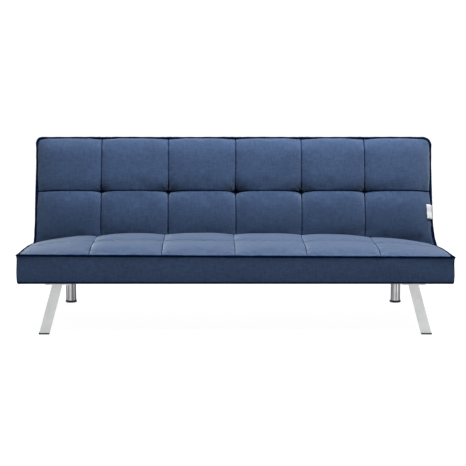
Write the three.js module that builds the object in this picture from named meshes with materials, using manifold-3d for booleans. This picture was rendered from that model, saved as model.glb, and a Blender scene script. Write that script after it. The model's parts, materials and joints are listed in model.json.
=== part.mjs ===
// Armless sofa bed: a quilted seat and back joined by a pair of ratchet hinges, on four metal legs.
// Millimetres, +Z up, X along the width, the seat's front faces -Y. It is drawn sitting upright.
import * as THREE from 'three';
import { mergeVertices } from 'three/addons/utils/BufferGeometryUtils.js';
import Module from 'manifold-3d';

const wasm = await Module();
wasm.setup();

// ---- Driving dimensions -------------------------------------------------------------------------
const GAP = 0.3;                 // kept between pieces that touch on the real object
const SIDES = [['left', -1], ['right', 1]];

const UNDERSIDE = 203;           // height of the seat's lower edge
const BORDER = 108;              // height of the plain border, lower edge to piping
const CROWN = 45;                // pillows above the piping
const CROWN_RUN = 90;            // how far in from the edge the pillows reach full height
const WALL = 2.5;                // cover fabric with its backing
const PIPING_RADIUS = 3;
const PLAN_CORNER = 9;           // corner radius of a cushion seen from above
const BACK_TOP_CORNER = 30;      // the back's two top corners are rounder
const SOFT_EDGE = 4;             // rounding along a cushion's lower edges
const HINGE_EDGE = 14;           // the same on the back's hinge side, which swings past the base

const SEAT_HALF = 835;           // half the width of the seat cover
const SEAT_DEPTH = 501;
const SEAT_REAR_SLOPE = 40;      // degrees, where the pillows run down to the hinge gap
const BACK_HALF = 831;
const BACK_LENGTH = 452;
const BACK_FRONT_SLOPE = 26;

const HINGE_Y = 532;             // pivot behind the seat's front
const HINGE_Z = 298.4;           // pivot above the floor
const FLAT_TO_UPRIGHT = 72;      // degrees the back turns between bed and sofa
const END_BEYOND_PIVOT = 21;     // the back's lower end, past the pivot

const RAIL_THICK = 25;
const RAIL_LOW = 4;              // heights of the frame inside a cushion, above its lower edge
const RAIL_HIGH = 47;
const FOAM_LOW = 51.3;
const INSIDE = 3;                // from a cover's outer face to the foam inside it
const RAIL_INSET = 3.4;
const RAIL_END_INSET = 8;
const RAIL_CORNER_CUT = 16;      // sawn off each end rail under the back's round top corners
const BACK_BOTTOM_RAIL_Y = -12;  // front face of the rail beside the pivot
const STRETCHER_DROP = 5;        // the stretchers stay clear of the springs
const LINING_INSET = 7;
const LINING_THICK = 1.5;
const LINING_RECESS = 0.2;       // above the cover's lower edge
const STRETCHER_FRONTS = [215, 330];

const SPRING_WIRE = 1.8;         // radius
const SPRING_COUNT = 9;
const SPRING_SPACING = 165;
const SPRING_WAVES = 5;
const SPRING_SWING = 26;
const SPRING_END_INSET = 14;
const TIE_WIRE = 1.44;
const TIE_WIRES = [170, 330];
const WEB_WIDE = 50;
const WEB_THICK = 2;
const WEB_LAP = 14;              // onto the end rails
const WEB_FRONT = -8;
const WEB_REAR_INSET = 8;
const UPRIGHT_WEBS = [-600, -230, 230, 600];
const CROSS_WEBS = [200, 320];

// Room for the hinges in the covers and foams, on the right: spans along X, Y and Z.
const SEAT_COVER_SLOT = { x: [799, 810], y: [481, 521], z: [250, 276] };
const SEAT_FOAM_POCKET = { x: [798, 840], y: [364, 521], z: [UNDERSIDE, 278] };
const BACK_COVER_SLOT = { x: [790, 812], y: [-26, -15], z: [-60, 8.5] };
const BACK_FOAM_POCKETS = [
  { x: [789, 840], y: [-40, 46], z: [UNDERSIDE - HINGE_Z, 80] },
  { x: [789, 840], y: [40, 158], z: [UNDERSIDE - HINGE_Z, 19] },
];

const PLATE_THICK = 4;
const SEAT_PLATE_X = 802.7;      // inner face of the hinge plate on the seat
const BACK_PLATE_X = 797;        // inner face of the toothed plate on the back
const SEAT_END_RAIL_X = SEAT_PLATE_X + PLATE_THICK + GAP;
const BACK_END_RAIL_X = BACK_PLATE_X + PLATE_THICK + GAP;
// Each hinge plate's arms about the pivot: spans along Y and Z.
const SEAT_PLATE_ARMS = [
  { y: [-10, 10], z: [-44, 0] },
  { y: [-165, 16], z: [-44, -27] },
  { y: [-165, -64], z: [-91, -27] },
];
const BACK_PLATE_ARMS = [
  { y: [0, 64], z: [-12, 12] },
  { y: [58, 150], z: [-90, 12] },
];
const BORE_ENDS = [790, 815];    // along X, past both faces of every hinge plate
const PIVOT_RADIUS = 5;
const PIVOT_BOSS = 14;
const RUNNING_FIT = 0.1;
const HEAD_RADIUS = 8.5;
const HEAD_THICK = 4;
const NUT_THICK = 6;
const BOLT_PROUD = 2;            // the bolt's end past its nut
const RATCHET_TIP = 24;
const RATCHET_ROOT = 20;
const NOTCH_PITCH = 8;           // degrees
const NOTCH_COUNT = 11;          // one for the forward release, then upright to flat
const PAWL_ANGLE = -110;         // degrees, where the pawl's nose points in, seen from the pivot
const PAWL_NOSE = 24.9;          // radius of the nose when it is lifted clear of the teeth
const PAWL_BAR = [28.4, 34.4];   // inner and outer radius of the pawl's straight bar
const PAWL_REACH = 20;           // from the nose to the pawl's pin
const PAWL_SHIFT = 0.7;          // the nose swings this far sideways as it drops in
const PAWL_NOSE_HALF = 0.3;
const PAWL_NECK_HALF = 1.2;
const PAWL_HEEL = 3.5;
const PAWL_EYE = 6;              // radius round the pin
const PIN_RADIUS = 3;
const PIN_INNER_X = 791.5;

const FRONT_LEG_TOP_X = 684;
const FRONT_LEG_FOOT_X = 740;
const FRONT_LEG_Y = 45;
const FRONT_LEG_WIDE = 39.5;
const FRONT_LEG_THICK = 25;
const LEG_PLATE = [92, 66, 4];
const LEG_BLOCK = [110, 74, 40];
const FRONT_PAD = 6;
const TUBE_WALL = 1.6;

const REAR_LEG_X = 697;
const REAR_LEG_Y = 700;
const REAR_LEG_RADIUS = 22;
const REAR_CUP_RADIUS = 24.5;
const REAR_CUP_HEIGHT = 9;
const FLANGE = [80, 44, 3];
const CUP_BEVEL = 1;
const CUP_FOOT = 2;

const BASE_TUBE = 25;            // square tube of the base frame
const BASE_TOP = 200;
const BASE_RAIL_FRONT = 190;
const BASE_RAIL_REAR = 722;
const SPACER_LONG = 50;
const REAR_SPACER_INSET = 10;
const REST_PAD_X = 420;
const REST_PAD = [60, 20, 2];
const TAB = [25, 60, 0.8];
const TAB_LEAN = 52;             // degrees, over the pillow's edge
const TAB_CENTRE = [BACK_HALF - 3, 110];
const TAB_RISE = 20;             // above the piping

// ---- Materials ----------------------------------------------------------------------------------
function material(color, roughness, metalness) {
  return new THREE.MeshStandardMaterial({ color, roughness, metalness });
}
const FABRIC = material(0x40577d, 0.9, 0);
const CORD = material(0x141c30, 0.9, 0);
const LINING = material(0x1b1d22, 0.95, 0);
const FOAM = material(0xe9dfb8, 0.95, 0);
const TAB_WHITE = material(0xe8e8e6, 0.8, 0);
const WEB = material(0xb9b2a0, 0.9, 0);
const PINE = material(0xc9a36c, 0.7, 0);
const SPRING_STEEL = material(0x55585c, 0.4, 1);
const ZINC = material(0xb4b8bb, 0.35, 1);
const BLACK_STEEL = material(0x1a1a1c, 0.5, 0.6);
const SATIN = material(0xc4c4c4, 0.35, 1);
const CHROME = material(0xd8dadc, 0.08, 1);
const BLACK_PLASTIC = material(0x111112, 0.6, 0);
const RUBBER = material(0x1c1c1c, 0.9, 0);

// ---- Making solids ------------------------------------------------------------------------------
const { degToRad } = THREE.MathUtils;

function solid(geometry) {
  const bare = geometry.clone();
  bare.deleteAttribute('normal');
  bare.deleteAttribute('uv');
  const merged = mergeVertices(bare, 1e-4);
  const vertProperties = Float32Array.from(merged.attributes.position.array);
  const triVerts = Uint32Array.from(merged.index.array);
  return new wasm.Manifold(new wasm.Mesh({ numProp: 3, vertProperties, triVerts }));
}

function geometryOf(manifold) {
  const mesh = manifold.getMesh();
  const geometry = new THREE.BufferGeometry();
  geometry.setAttribute('position', new THREE.BufferAttribute(mesh.vertProperties, 3));
  geometry.setIndex(new THREE.BufferAttribute(mesh.triVerts, 1));
  geometry.computeVertexNormals();
  return geometry;
}

function joined(geometries) {
  return geometries.map(solid).reduce((whole, piece) => whole.add(piece));
}

function cut(whole, geometries) {
  return geometries.map(solid).reduce((rest, piece) => rest.subtract(piece), whole);
}

// A box between two opposite corners; the corners of a mirrored box may come in either order.
function block(a, b) {
  const size = a.map((value, axis) => Math.abs(b[axis] - value));
  const centre = a.map((value, axis) => (b[axis] + value) / 2);
  return new THREE.BoxGeometry(...size).translate(...centre);
}

// The box of three spans, on the right and mirrored on the left.
function onBothSides({ x, y, z }) {
  return SIDES.map(([, side]) => block([side * x[0], y[0], z[0]], [side * x[1], y[1], z[1]]));
}

// A box of a given size that stands centred on a point.
function slab([wide, deep, high], x, y, bottom) {
  return block([x - wide / 2, y - deep / 2, bottom], [x + wide / 2, y + deep / 2, bottom + high]);
}

// A round bar lying along X between two places.
function bar(radius, x0, x1, y, z, sides = 24) {
  const length = Math.abs(x1 - x0);
  return new THREE.CylinderGeometry(radius, radius, length, sides)
    .rotateZ(Math.PI / 2)
    .translate((x0 + x1) / 2, y, z);
}

// An outline of (y, z) points made into a plate between two places along X.
function plate(outline, x0, x1) {
  const shape = new THREE.Shape(outline.map(([y, z]) => new THREE.Vector2(y, z)));
  const lying = new THREE.ExtrudeGeometry(shape, { depth: Math.abs(x1 - x0), bevelEnabled: false });
  const upright = new THREE.Matrix4().makeBasis(
    new THREE.Vector3(0, 1, 0),
    new THREE.Vector3(0, 0, 1),
    new THREE.Vector3(1, 0, 0),
  );
  return lying.applyMatrix4(upright).translate(Math.min(x0, x1), 0, 0);
}

// A tube of rectangular section, open at both ends of one axis.
function boxTube(low, high, openAxis) {
  const shrink = (amount) => (value, axis) => value + (axis === openAxis ? -amount : amount);
  const inside = block(low.map(shrink(TUBE_WALL)), high.map(shrink(-TUBE_WALL)));
  return geometryOf(cut(solid(block(low, high)), [inside]));
}

function add(group, name, geometry, look) {
  const mesh = new THREE.Mesh(geometry, look);
  mesh.name = name;
  group.add(mesh);
}

// ---- Cushions -----------------------------------------------------------------------------------
// A rounded rectangle, anticlockwise from above; the cushion's front is its low Y side. It has one
// corner radius in front and another at the rear.
function roundedOutline({ half, front, rear, corners }) {
  const outline = new THREE.Path();
  const quarter = Math.PI / 2;
  const frontX = half - corners.front;
  const rearX = half - corners.rear;
  outline.moveTo(-frontX, front);
  outline.lineTo(frontX, front);
  outline.absarc(frontX, front + corners.front, corners.front, -quarter, 0);
  outline.absarc(rearX, rear - corners.rear, corners.rear, 0, quarter);
  outline.absarc(-rearX, rear - corners.rear, corners.rear, quarter, 2 * quarter);
  outline.absarc(-frontX, front + corners.front, corners.front, 2 * quarter, 3 * quarter);
  const points = outline.getPoints(4);
  const isNew = (point, i) => i === 0 || point.distanceTo(points[i - 1]) > 1e-6;
  const distinct = points.filter(isNew);
  const closes = distinct[0].distanceTo(distinct[distinct.length - 1]) < 1e-6;
  return closes ? distinct.slice(0, -1) : distinct;
}

function grown({ front, rear }, amount) {
  return { front: front + amount, rear: rear + amount };
}

// Rounded rectangles stacked from the lowest up into one closed solid.
function ringLoft(rings) {
  const outlines = rings.map(roundedOutline);
  const around = outlines[0].length;
  const positions = outlines.flatMap((points, level) => points.flatMap((p) => [p.x, p.y, rings[level].z]));
  const index = [];
  for (let level = 0; level + 1 < rings.length; level += 1) {
    for (let i = 0; i < around; i += 1) {
      const a = level * around + i;
      const b = level * around + ((i + 1) % around);
      index.push(a, b, b + around, a, b + around, a + around);
    }
  }
  const top = (rings.length - 1) * around;
  for (let i = 1; i + 1 < around; i += 1) {
    index.push(0, i + 1, i);
    index.push(top, top + i, top + i + 1);
  }
  const geometry = new THREE.BufferGeometry();
  geometry.setAttribute('position', new THREE.Float32BufferAttribute(positions, 3));
  geometry.setIndex(index);
  return geometry;
}

// The rings of a straight border with rounded lower edges.
function borderRings({ half, front, rear, low, edges, corners, inset }) {
  const rounding = Math.max(edges.front, edges.rear, edges.side);
  const turns = rounding > 0 ? [0, 30, 60, 90] : [90];
  return turns.map(degToRad).map((turn) => {
    const drawIn = (radius) => inset + radius * (1 - Math.sin(turn));
    return {
      half: half - drawIn(edges.side),
      front: front + drawIn(edges.front),
      rear: rear - drawIn(edges.rear),
      corners: grown(corners, -inset),
      z: low + rounding * (1 - Math.cos(turn)),
    };
  });
}

// The rings of a crowned top. A slope limits how steeply the hinge side rises, so that the two
// cushions clear each other all the way from bed to sofa.
function crownRings({ half, front, rear, seam, slopes, corners, inset }) {
  const levels = [0, 18, 36, 54, 72, 90];
  return levels.map(degToRad).map((turn) => {
    const rise = (CROWN - inset) * Math.sin(turn);
    const run = CROWN_RUN * (1 - Math.cos(turn));
    const drawIn = (slope) => inset + (slope ? Math.max(run, rise / Math.tan(degToRad(slope))) : run);
    return {
      half: half - drawIn(0),
      front: front + drawIn(slopes.front),
      rear: rear - drawIn(slopes.rear),
      corners: grown(corners, -inset),
      z: seam + rise,
    };
  });
}

function cushion(outline) {
  return ringLoft([...borderRings(outline), ...crownRings(outline)]);
}

// A cover is a cushion hollowed out from below, where a lining closes it.
function coverShell(outline) {
  const outer = cushion({ ...outline, inset: 0 });
  const hollow = cushion({ ...outline, inset: WALL, low: outline.low - 1 });
  return cut(solid(outer), [hollow]);
}

function foamBlock(outline) {
  const square = { front: 0, rear: 0, side: 0 };
  return solid(cushion({ ...outline, inset: INSIDE, low: outline.low + FOAM_LOW, edges: square }));
}

function pipingLoop({ half, front, rear, seam, corners }) {
  const around = (grow) => roundedOutline({
    half: half + grow,
    front: front - grow,
    rear: rear + grow,
    corners: grown(corners, grow),
  });
  const shape = new THREE.Shape(around(PIPING_RADIUS));
  shape.holes.push(new THREE.Path(around(GAP)));
  const depth = 2 * PIPING_RADIUS;
  return new THREE.ExtrudeGeometry(shape, { depth, bevelEnabled: false })
    .translate(0, 0, seam - PIPING_RADIUS);
}

function lining({ half, front, rear, low, corners }, frontInset) {
  const outline = {
    half: half - LINING_INSET,
    front: front + frontInset,
    rear: rear - LINING_INSET,
    corners: grown(corners, -LINING_INSET),
  };
  const bottom = low + LINING_RECESS;
  return ringLoft([{ ...outline, z: bottom }, { ...outline, z: bottom + LINING_THICK }]);
}

// ---- Seat ---------------------------------------------------------------------------------------
const seatOutline = {
  half: SEAT_HALF,
  front: 0,
  rear: SEAT_DEPTH,
  low: UNDERSIDE,
  seam: UNDERSIDE + BORDER,
  edges: { front: SOFT_EDGE, rear: SOFT_EDGE, side: SOFT_EDGE },
  slopes: { front: 0, rear: SEAT_REAR_SLOPE },
  corners: { front: PLAN_CORNER, rear: PLAN_CORNER },
};

// A zigzag spring wire running from front to rear on top of the rails.
class SpringLine extends THREE.Curve {
  constructor(x, front, rear, z) {
    super();
    this.start = new THREE.Vector3(x, front, z);
    this.length = rear - front;
  }

  getPoint(t, target = new THREE.Vector3()) {
    const swing = SPRING_SWING * Math.sin(2 * Math.PI * SPRING_WAVES * t);
    return target.copy(this.start).add(new THREE.Vector3(swing, this.length * t, 0));
  }
}

function springWire(x, z) {
  const points = [0, 1, 2, 3, 4, 5].map((corner) => {
    const angle = (corner * Math.PI) / 3;
    return new THREE.Vector2(SPRING_WIRE * Math.cos(angle), SPRING_WIRE * Math.sin(angle));
  });
  const extrudePath = new SpringLine(x, SPRING_END_INSET, SEAT_DEPTH - SPRING_END_INSET, z);
  const steps = SPRING_WAVES * 6;
  return new THREE.ExtrudeGeometry(new THREE.Shape(points), { steps, extrudePath });
}

function springDeck() {
  const z = UNDERSIDE + RAIL_HIGH + GAP + SPRING_WIRE;
  const reach = (SPRING_SPACING * (SPRING_COUNT - 1)) / 2;
  const wires = [];
  for (let i = 0; i < SPRING_COUNT; i += 1) {
    wires.push(springWire(i * SPRING_SPACING - reach, z));
  }
  for (const y of TIE_WIRES) {
    wires.push(bar(TIE_WIRE, -reach - SPRING_SWING, reach + SPRING_SWING, y, z, 6));
  }
  return geometryOf(joined(wires));
}

function seatCover() {
  return geometryOf(cut(coverShell(seatOutline), onBothSides(SEAT_COVER_SLOT)));
}

function seatFoam() {
  return geometryOf(cut(foamBlock(seatOutline), onBothSides(SEAT_FOAM_POCKET)));
}

function buildSeat(group) {
  const low = UNDERSIDE + RAIL_LOW;
  const high = UNDERSIDE + RAIL_HIGH;
  const reach = SEAT_END_RAIL_X - GAP;
  const rear = SEAT_DEPTH - RAIL_INSET;
  add(group, 'seat_cover', seatCover(), FABRIC);
  add(group, 'seat_piping', pipingLoop(seatOutline), CORD);
  add(group, 'seat_foam', seatFoam(), FOAM);
  add(group, 'seat_dust_cover', lining(seatOutline, LINING_INSET), LINING);
  add(group, 'seat_spring_deck', springDeck(), SPRING_STEEL);
  const frontRail = block([-reach, RAIL_INSET, low], [reach, RAIL_INSET + RAIL_THICK, high]);
  add(group, 'seat_front_rail', frontRail, PINE);
  add(group, 'seat_rear_rail', block([-reach, rear - RAIL_THICK, low], [reach, rear, high]), PINE);
  STRETCHER_FRONTS.forEach((front, i) => {
    const top = high - STRETCHER_DROP;
    const stretcher = block([-reach, front, low], [reach, front + RAIL_THICK, top]);
    add(group, `seat_stretcher_${i + 1}`, stretcher, PINE);
  });
  for (const [name, side] of SIDES) {
    const rail = block(
      [side * SEAT_END_RAIL_X, RAIL_END_INSET, low],
      [side * (SEAT_END_RAIL_X + RAIL_THICK), SEAT_DEPTH - RAIL_END_INSET, high],
    );
    add(group, `seat_end_rail_${name}`, rail, PINE);
    const blockY = RAIL_INSET + RAIL_THICK + GAP + LEG_BLOCK[1] / 2;
    add(group, `leg_block_${name}`, slab(LEG_BLOCK, side * FRONT_LEG_TOP_X, blockY, low), PINE);
  }
}

// ---- Back, drawn flat with its hinge pivot at the origin ------------------------------------------
const backLow = UNDERSIDE - HINGE_Z;
const backOutline = {
  half: BACK_HALF,
  front: -END_BEYOND_PIVOT,
  rear: BACK_LENGTH - END_BEYOND_PIVOT,
  low: backLow,
  seam: backLow + BORDER,
  edges: { front: HINGE_EDGE, rear: SOFT_EDGE, side: SOFT_EDGE },
  slopes: { front: BACK_FRONT_SLOPE, rear: 0 },
  corners: { front: PLAN_CORNER, rear: BACK_TOP_CORNER },
};

function backCover() {
  return geometryOf(cut(coverShell(backOutline), onBothSides(BACK_COVER_SLOT)));
}

function backFoam() {
  return geometryOf(cut(foamBlock(backOutline), BACK_FOAM_POCKETS.flatMap(onBothSides)));
}

function backWebbing() {
  const low = backLow + RAIL_HIGH + GAP;
  const high = low + WEB_THICK;
  const uprights = UPRIGHT_WEBS.map((x) => block(
    [x - WEB_WIDE / 2, WEB_FRONT, low],
    [x + WEB_WIDE / 2, backOutline.rear - WEB_REAR_INSET, high],
  ));
  const crossings = CROSS_WEBS.map((y) => block(
    [-BACK_END_RAIL_X - WEB_LAP, y - WEB_WIDE / 2, low],
    [BACK_END_RAIL_X + WEB_LAP, y + WEB_WIDE / 2, high],
  ));
  return geometryOf(joined([...uprights, ...crossings]));
}

// The blank tab is sewn into the right side seam and lies over the rounded edge of the pillow.
function sideTab() {
  return new THREE.BoxGeometry(...TAB)
    .rotateY(degToRad(TAB_LEAN))
    .translate(...TAB_CENTRE, backOutline.seam + TAB_RISE);
}

// An end rail with its top corner sawn off to follow the cover's round corner.
function backEndRail(side, low, high) {
  const inner = side * BACK_END_RAIL_X;
  const outer = side * (BACK_END_RAIL_X + RAIL_THICK);
  const rear = backOutline.rear - RAIL_END_INSET;
  const shape = new THREE.Shape([
    new THREE.Vector2(inner, BACK_BOTTOM_RAIL_Y),
    new THREE.Vector2(outer, BACK_BOTTOM_RAIL_Y),
    new THREE.Vector2(outer, rear - RAIL_CORNER_CUT),
    new THREE.Vector2(outer - side * RAIL_CORNER_CUT, rear),
    new THREE.Vector2(inner, rear),
  ]);
  return new THREE.ExtrudeGeometry(shape, { depth: high - low, bevelEnabled: false })
    .translate(0, 0, low);
}

function buildBack(group) {
  const low = backLow + RAIL_LOW;
  const high = backLow + RAIL_HIGH;
  const reach = BACK_END_RAIL_X - GAP;
  const bottomRear = BACK_BOTTOM_RAIL_Y + RAIL_THICK;
  const rear = backOutline.rear - RAIL_INSET - 1;
  add(group, 'back_cover', backCover(), FABRIC);
  add(group, 'back_piping', pipingLoop(backOutline), CORD);
  add(group, 'back_foam', backFoam(), FOAM);
  add(group, 'back_rear_panel', lining(backOutline, HINGE_EDGE), LINING);
  add(group, 'back_webbing', backWebbing(), WEB);
  add(group, 'back_side_tab', sideTab(), TAB_WHITE);
  const bottomRail = block([-reach, BACK_BOTTOM_RAIL_Y, low], [reach, bottomRear, high]);
  add(group, 'back_bottom_rail', bottomRail, PINE);
  add(group, 'back_top_rail', block([-reach, rear - RAIL_THICK, low], [reach, rear, high]), PINE);
  const uprightFront = bottomRear + GAP;
  const uprightRear = rear - RAIL_THICK - GAP;
  const upright = block([-RAIL_THICK / 2, uprightFront, low], [RAIL_THICK / 2, uprightRear, high]);
  add(group, 'back_centre_upright', upright, PINE);
  for (const [name, side] of SIDES) {
    add(group, `back_end_rail_${name}`, backEndRail(side, low, high), PINE);
  }
}

// ---- Ratchet hinges, drawn about the pivot -------------------------------------------------------
// A point given by its distance along the pawl's bar and its radius from the pivot.
function besideRatchet(along, radius) {
  const angle = degToRad(PAWL_ANGLE);
  return [
    radius * Math.cos(angle) - along * Math.sin(angle),
    radius * Math.sin(angle) + along * Math.cos(angle),
  ];
}
const pawlPin = besideRatchet(PAWL_REACH, (PAWL_BAR[0] + PAWL_BAR[1]) / 2);

function arms(spans, inner, outer) {
  return spans.map(({ y, z }) => block([inner, y[0], z[0]], [outer, y[1], z[1]]));
}

function bore(radius, side, y, z) {
  return bar(radius, side * BORE_ENDS[0], side * BORE_ENDS[1], y, z);
}

function seatHingePlate(side) {
  const inner = side * SEAT_PLATE_X;
  const outer = side * (SEAT_PLATE_X + PLATE_THICK);
  const boss = bar(PIVOT_BOSS, inner, outer, 0, 0);
  const body = joined([boss, ...arms(SEAT_PLATE_ARMS, inner, outer)]);
  return geometryOf(cut(body, [
    bore(PIVOT_RADIUS + GAP, side, 0, 0),
    bore(PIN_RADIUS + GAP, side, ...pawlPin),
  ]));
}

// The notches sit where the pawl meets them at each stop, turned back to the flat position.
function ratchetOutline() {
  const points = [];
  const first = PAWL_ANGLE - FLAT_TO_UPRIGHT - NOTCH_PITCH;
  const corner = (angle, radius) => {
    points.push([radius * Math.cos(degToRad(angle)), radius * Math.sin(degToRad(angle))]);
  };
  for (let notch = 0; notch < NOTCH_COUNT; notch += 1) {
    corner(first + NOTCH_PITCH * (notch - 0.5), RATCHET_TIP);
    corner(first + NOTCH_PITCH * notch, RATCHET_ROOT);
  }
  const last = first + NOTCH_PITCH * (NOTCH_COUNT - 0.5);
  corner(last, RATCHET_TIP);
  const bossSteps = 12;
  const sweep = 360 - NOTCH_PITCH * NOTCH_COUNT;
  for (let step = 1; step < bossSteps; step += 1) {
    corner(last + (sweep * step) / bossSteps, PIVOT_BOSS);
  }
  return points;
}

function backHingePlate(side) {
  const inner = side * BACK_PLATE_X;
  const outer = side * (BACK_PLATE_X + PLATE_THICK);
  const wheel = plate(ratchetOutline(), inner, outer);
  const body = joined([wheel, ...arms(BACK_PLATE_ARMS, inner, outer)]);
  return geometryOf(cut(body, [bore(PIVOT_RADIUS + RUNNING_FIT, side, 0, 0)]));
}

function pivotBolt(side) {
  const headOuter = side * (BACK_PLATE_X - GAP);
  const shankEnd = side * (SEAT_END_RAIL_X + NUT_THICK + BOLT_PROUD);
  return geometryOf(joined([
    bar(HEAD_RADIUS, headOuter - side * HEAD_THICK, headOuter, 0, 0, 6),
    bar(PIVOT_RADIUS, headOuter - side, shankEnd, 0, 0),
  ]));
}

function pivotNut(side) {
  const inner = side * SEAT_END_RAIL_X;
  const nut = solid(bar(HEAD_RADIUS, inner, inner + side * NUT_THICK, 0, 0, 6));
  const thread = bar(PIVOT_RADIUS + GAP, inner - side, inner + side * (NUT_THICK + 1), 0, 0);
  return geometryOf(cut(nut, [thread]));
}

function pawl(side) {
  const inner = side * BACK_PLATE_X;
  const outer = side * (BACK_PLATE_X + PLATE_THICK);
  const outline = [
    besideRatchet(-PAWL_SHIFT - PAWL_NOSE_HALF, PAWL_NOSE),
    besideRatchet(-PAWL_SHIFT + PAWL_NOSE_HALF, PAWL_NOSE),
    besideRatchet(-PAWL_SHIFT + PAWL_NECK_HALF, PAWL_BAR[0]),
    besideRatchet(PAWL_REACH, PAWL_BAR[0]),
    besideRatchet(PAWL_REACH, PAWL_BAR[1]),
    besideRatchet(-PAWL_HEEL, PAWL_BAR[1]),
    besideRatchet(-PAWL_SHIFT - PAWL_NECK_HALF, PAWL_BAR[0]),
  ];
  const body = joined([plate(outline, inner, outer), bar(PAWL_EYE, inner, outer, ...pawlPin)]);
  return geometryOf(cut(body, [bore(PIN_RADIUS + RUNNING_FIT, side, ...pawlPin)]));
}

function pawlSpring(side) {
  const inner = side * (PIN_INNER_X + 0.5);
  const outer = side * (BACK_PLATE_X - GAP);
  const coil = solid(bar(PAWL_EYE, inner, outer, ...pawlPin));
  return geometryOf(cut(coil, [bar(PIN_RADIUS + GAP, inner - side, outer + side, ...pawlPin)]));
}

function buildHinges(seatSide, backSide) {
  for (const [name, side] of SIDES) {
    add(seatSide, `hinge_seat_plate_${name}`, seatHingePlate(side), ZINC);
    add(seatSide, `hinge_pivot_bolt_${name}`, pivotBolt(side), ZINC);
    add(seatSide, `hinge_pivot_nut_${name}`, pivotNut(side), ZINC);
    add(seatSide, `hinge_pawl_${name}`, pawl(side), ZINC);
    const pinOuter = side * (SEAT_PLATE_X + PLATE_THICK);
    const pin = bar(PIN_RADIUS, side * PIN_INNER_X, pinOuter, ...pawlPin);
    add(seatSide, `hinge_pawl_pin_${name}`, pin, ZINC);
    add(seatSide, `hinge_pawl_spring_${name}`, pawlSpring(side), SPRING_STEEL);
    add(backSide, `hinge_back_plate_${name}`, backHingePlate(side), ZINC);
  }
}

// ---- Legs and base frame --------------------------------------------------------------------------
// A leg leaning sideways, with both ends cut level.
function splayedBar(side, wide, thick, low, high) {
  const slope = (FRONT_LEG_TOP_X - FRONT_LEG_FOOT_X) / UNDERSIDE;
  const centreAt = (z) => side * (FRONT_LEG_FOOT_X + slope * z);
  const shape = new THREE.Shape([
    new THREE.Vector2(centreAt(low) - wide / 2, low),
    new THREE.Vector2(centreAt(low) + wide / 2, low),
    new THREE.Vector2(centreAt(high) + wide / 2, high),
    new THREE.Vector2(centreAt(high) - wide / 2, high),
  ]);
  return new THREE.ExtrudeGeometry(shape, { depth: thick, bevelEnabled: false })
    .rotateX(Math.PI / 2)
    .translate(0, FRONT_LEG_Y + thick / 2, 0);
}

function buildFrontLegs(group) {
  const plateLow = UNDERSIDE - GAP - LEG_PLATE[2];
  const low = FRONT_PAD + GAP;
  const high = plateLow - GAP;
  for (const [name, side] of SIDES) {
    const outside = splayedBar(side, FRONT_LEG_WIDE, FRONT_LEG_THICK, low, high);
    const inside = splayedBar(
      side,
      FRONT_LEG_WIDE - 2 * TUBE_WALL,
      FRONT_LEG_THICK - 2 * TUBE_WALL,
      low - 1,
      high + 1,
    );
    add(group, `front_leg_${name}`, geometryOf(cut(solid(outside), [inside])), SATIN);
    const topPlate = slab(LEG_PLATE, side * FRONT_LEG_TOP_X, FRONT_LEG_Y, plateLow);
    add(group, `front_leg_plate_${name}`, topPlate, SATIN);
    const padSize = [FRONT_LEG_WIDE + 1, FRONT_LEG_THICK + 1, FRONT_PAD];
    const pad = slab(padSize, side * FRONT_LEG_FOOT_X, FRONT_LEG_Y, 0);
    add(group, `front_leg_pad_${name}`, pad, BLACK_PLASTIC);
  }
}

function buildRearLegs(group) {
  const flangeLow = BASE_TOP - BASE_TUBE - GAP - FLANGE[2];
  const low = REAR_CUP_HEIGHT + GAP;
  const high = flangeLow - GAP;
  const wall = [
    new THREE.Vector2(REAR_LEG_RADIUS - TUBE_WALL, low),
    new THREE.Vector2(REAR_LEG_RADIUS, low),
    new THREE.Vector2(REAR_LEG_RADIUS, high),
    new THREE.Vector2(REAR_LEG_RADIUS - TUBE_WALL, high),
    new THREE.Vector2(REAR_LEG_RADIUS - TUBE_WALL, low),
  ];
  const cup = [
    new THREE.Vector2(0, 0),
    new THREE.Vector2(REAR_CUP_RADIUS - CUP_BEVEL, 0),
    new THREE.Vector2(REAR_CUP_RADIUS, CUP_FOOT),
    new THREE.Vector2(REAR_CUP_RADIUS - CUP_BEVEL, REAR_CUP_HEIGHT),
    new THREE.Vector2(0, REAR_CUP_HEIGHT),
  ];
  for (const [name, side] of SIDES) {
    const x = side * REAR_LEG_X;
    const turned = (profile) => new THREE.LatheGeometry(profile, 28)
      .rotateX(Math.PI / 2)
      .translate(x, REAR_LEG_Y, 0);
    add(group, `rear_leg_${name}`, turned(wall), CHROME);
    add(group, `rear_leg_flange_${name}`, slab(FLANGE, x, REAR_LEG_Y, flangeLow), BLACK_STEEL);
    add(group, `rear_leg_cup_${name}`, turned(cup), BLACK_PLASTIC);
  }
}

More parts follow.
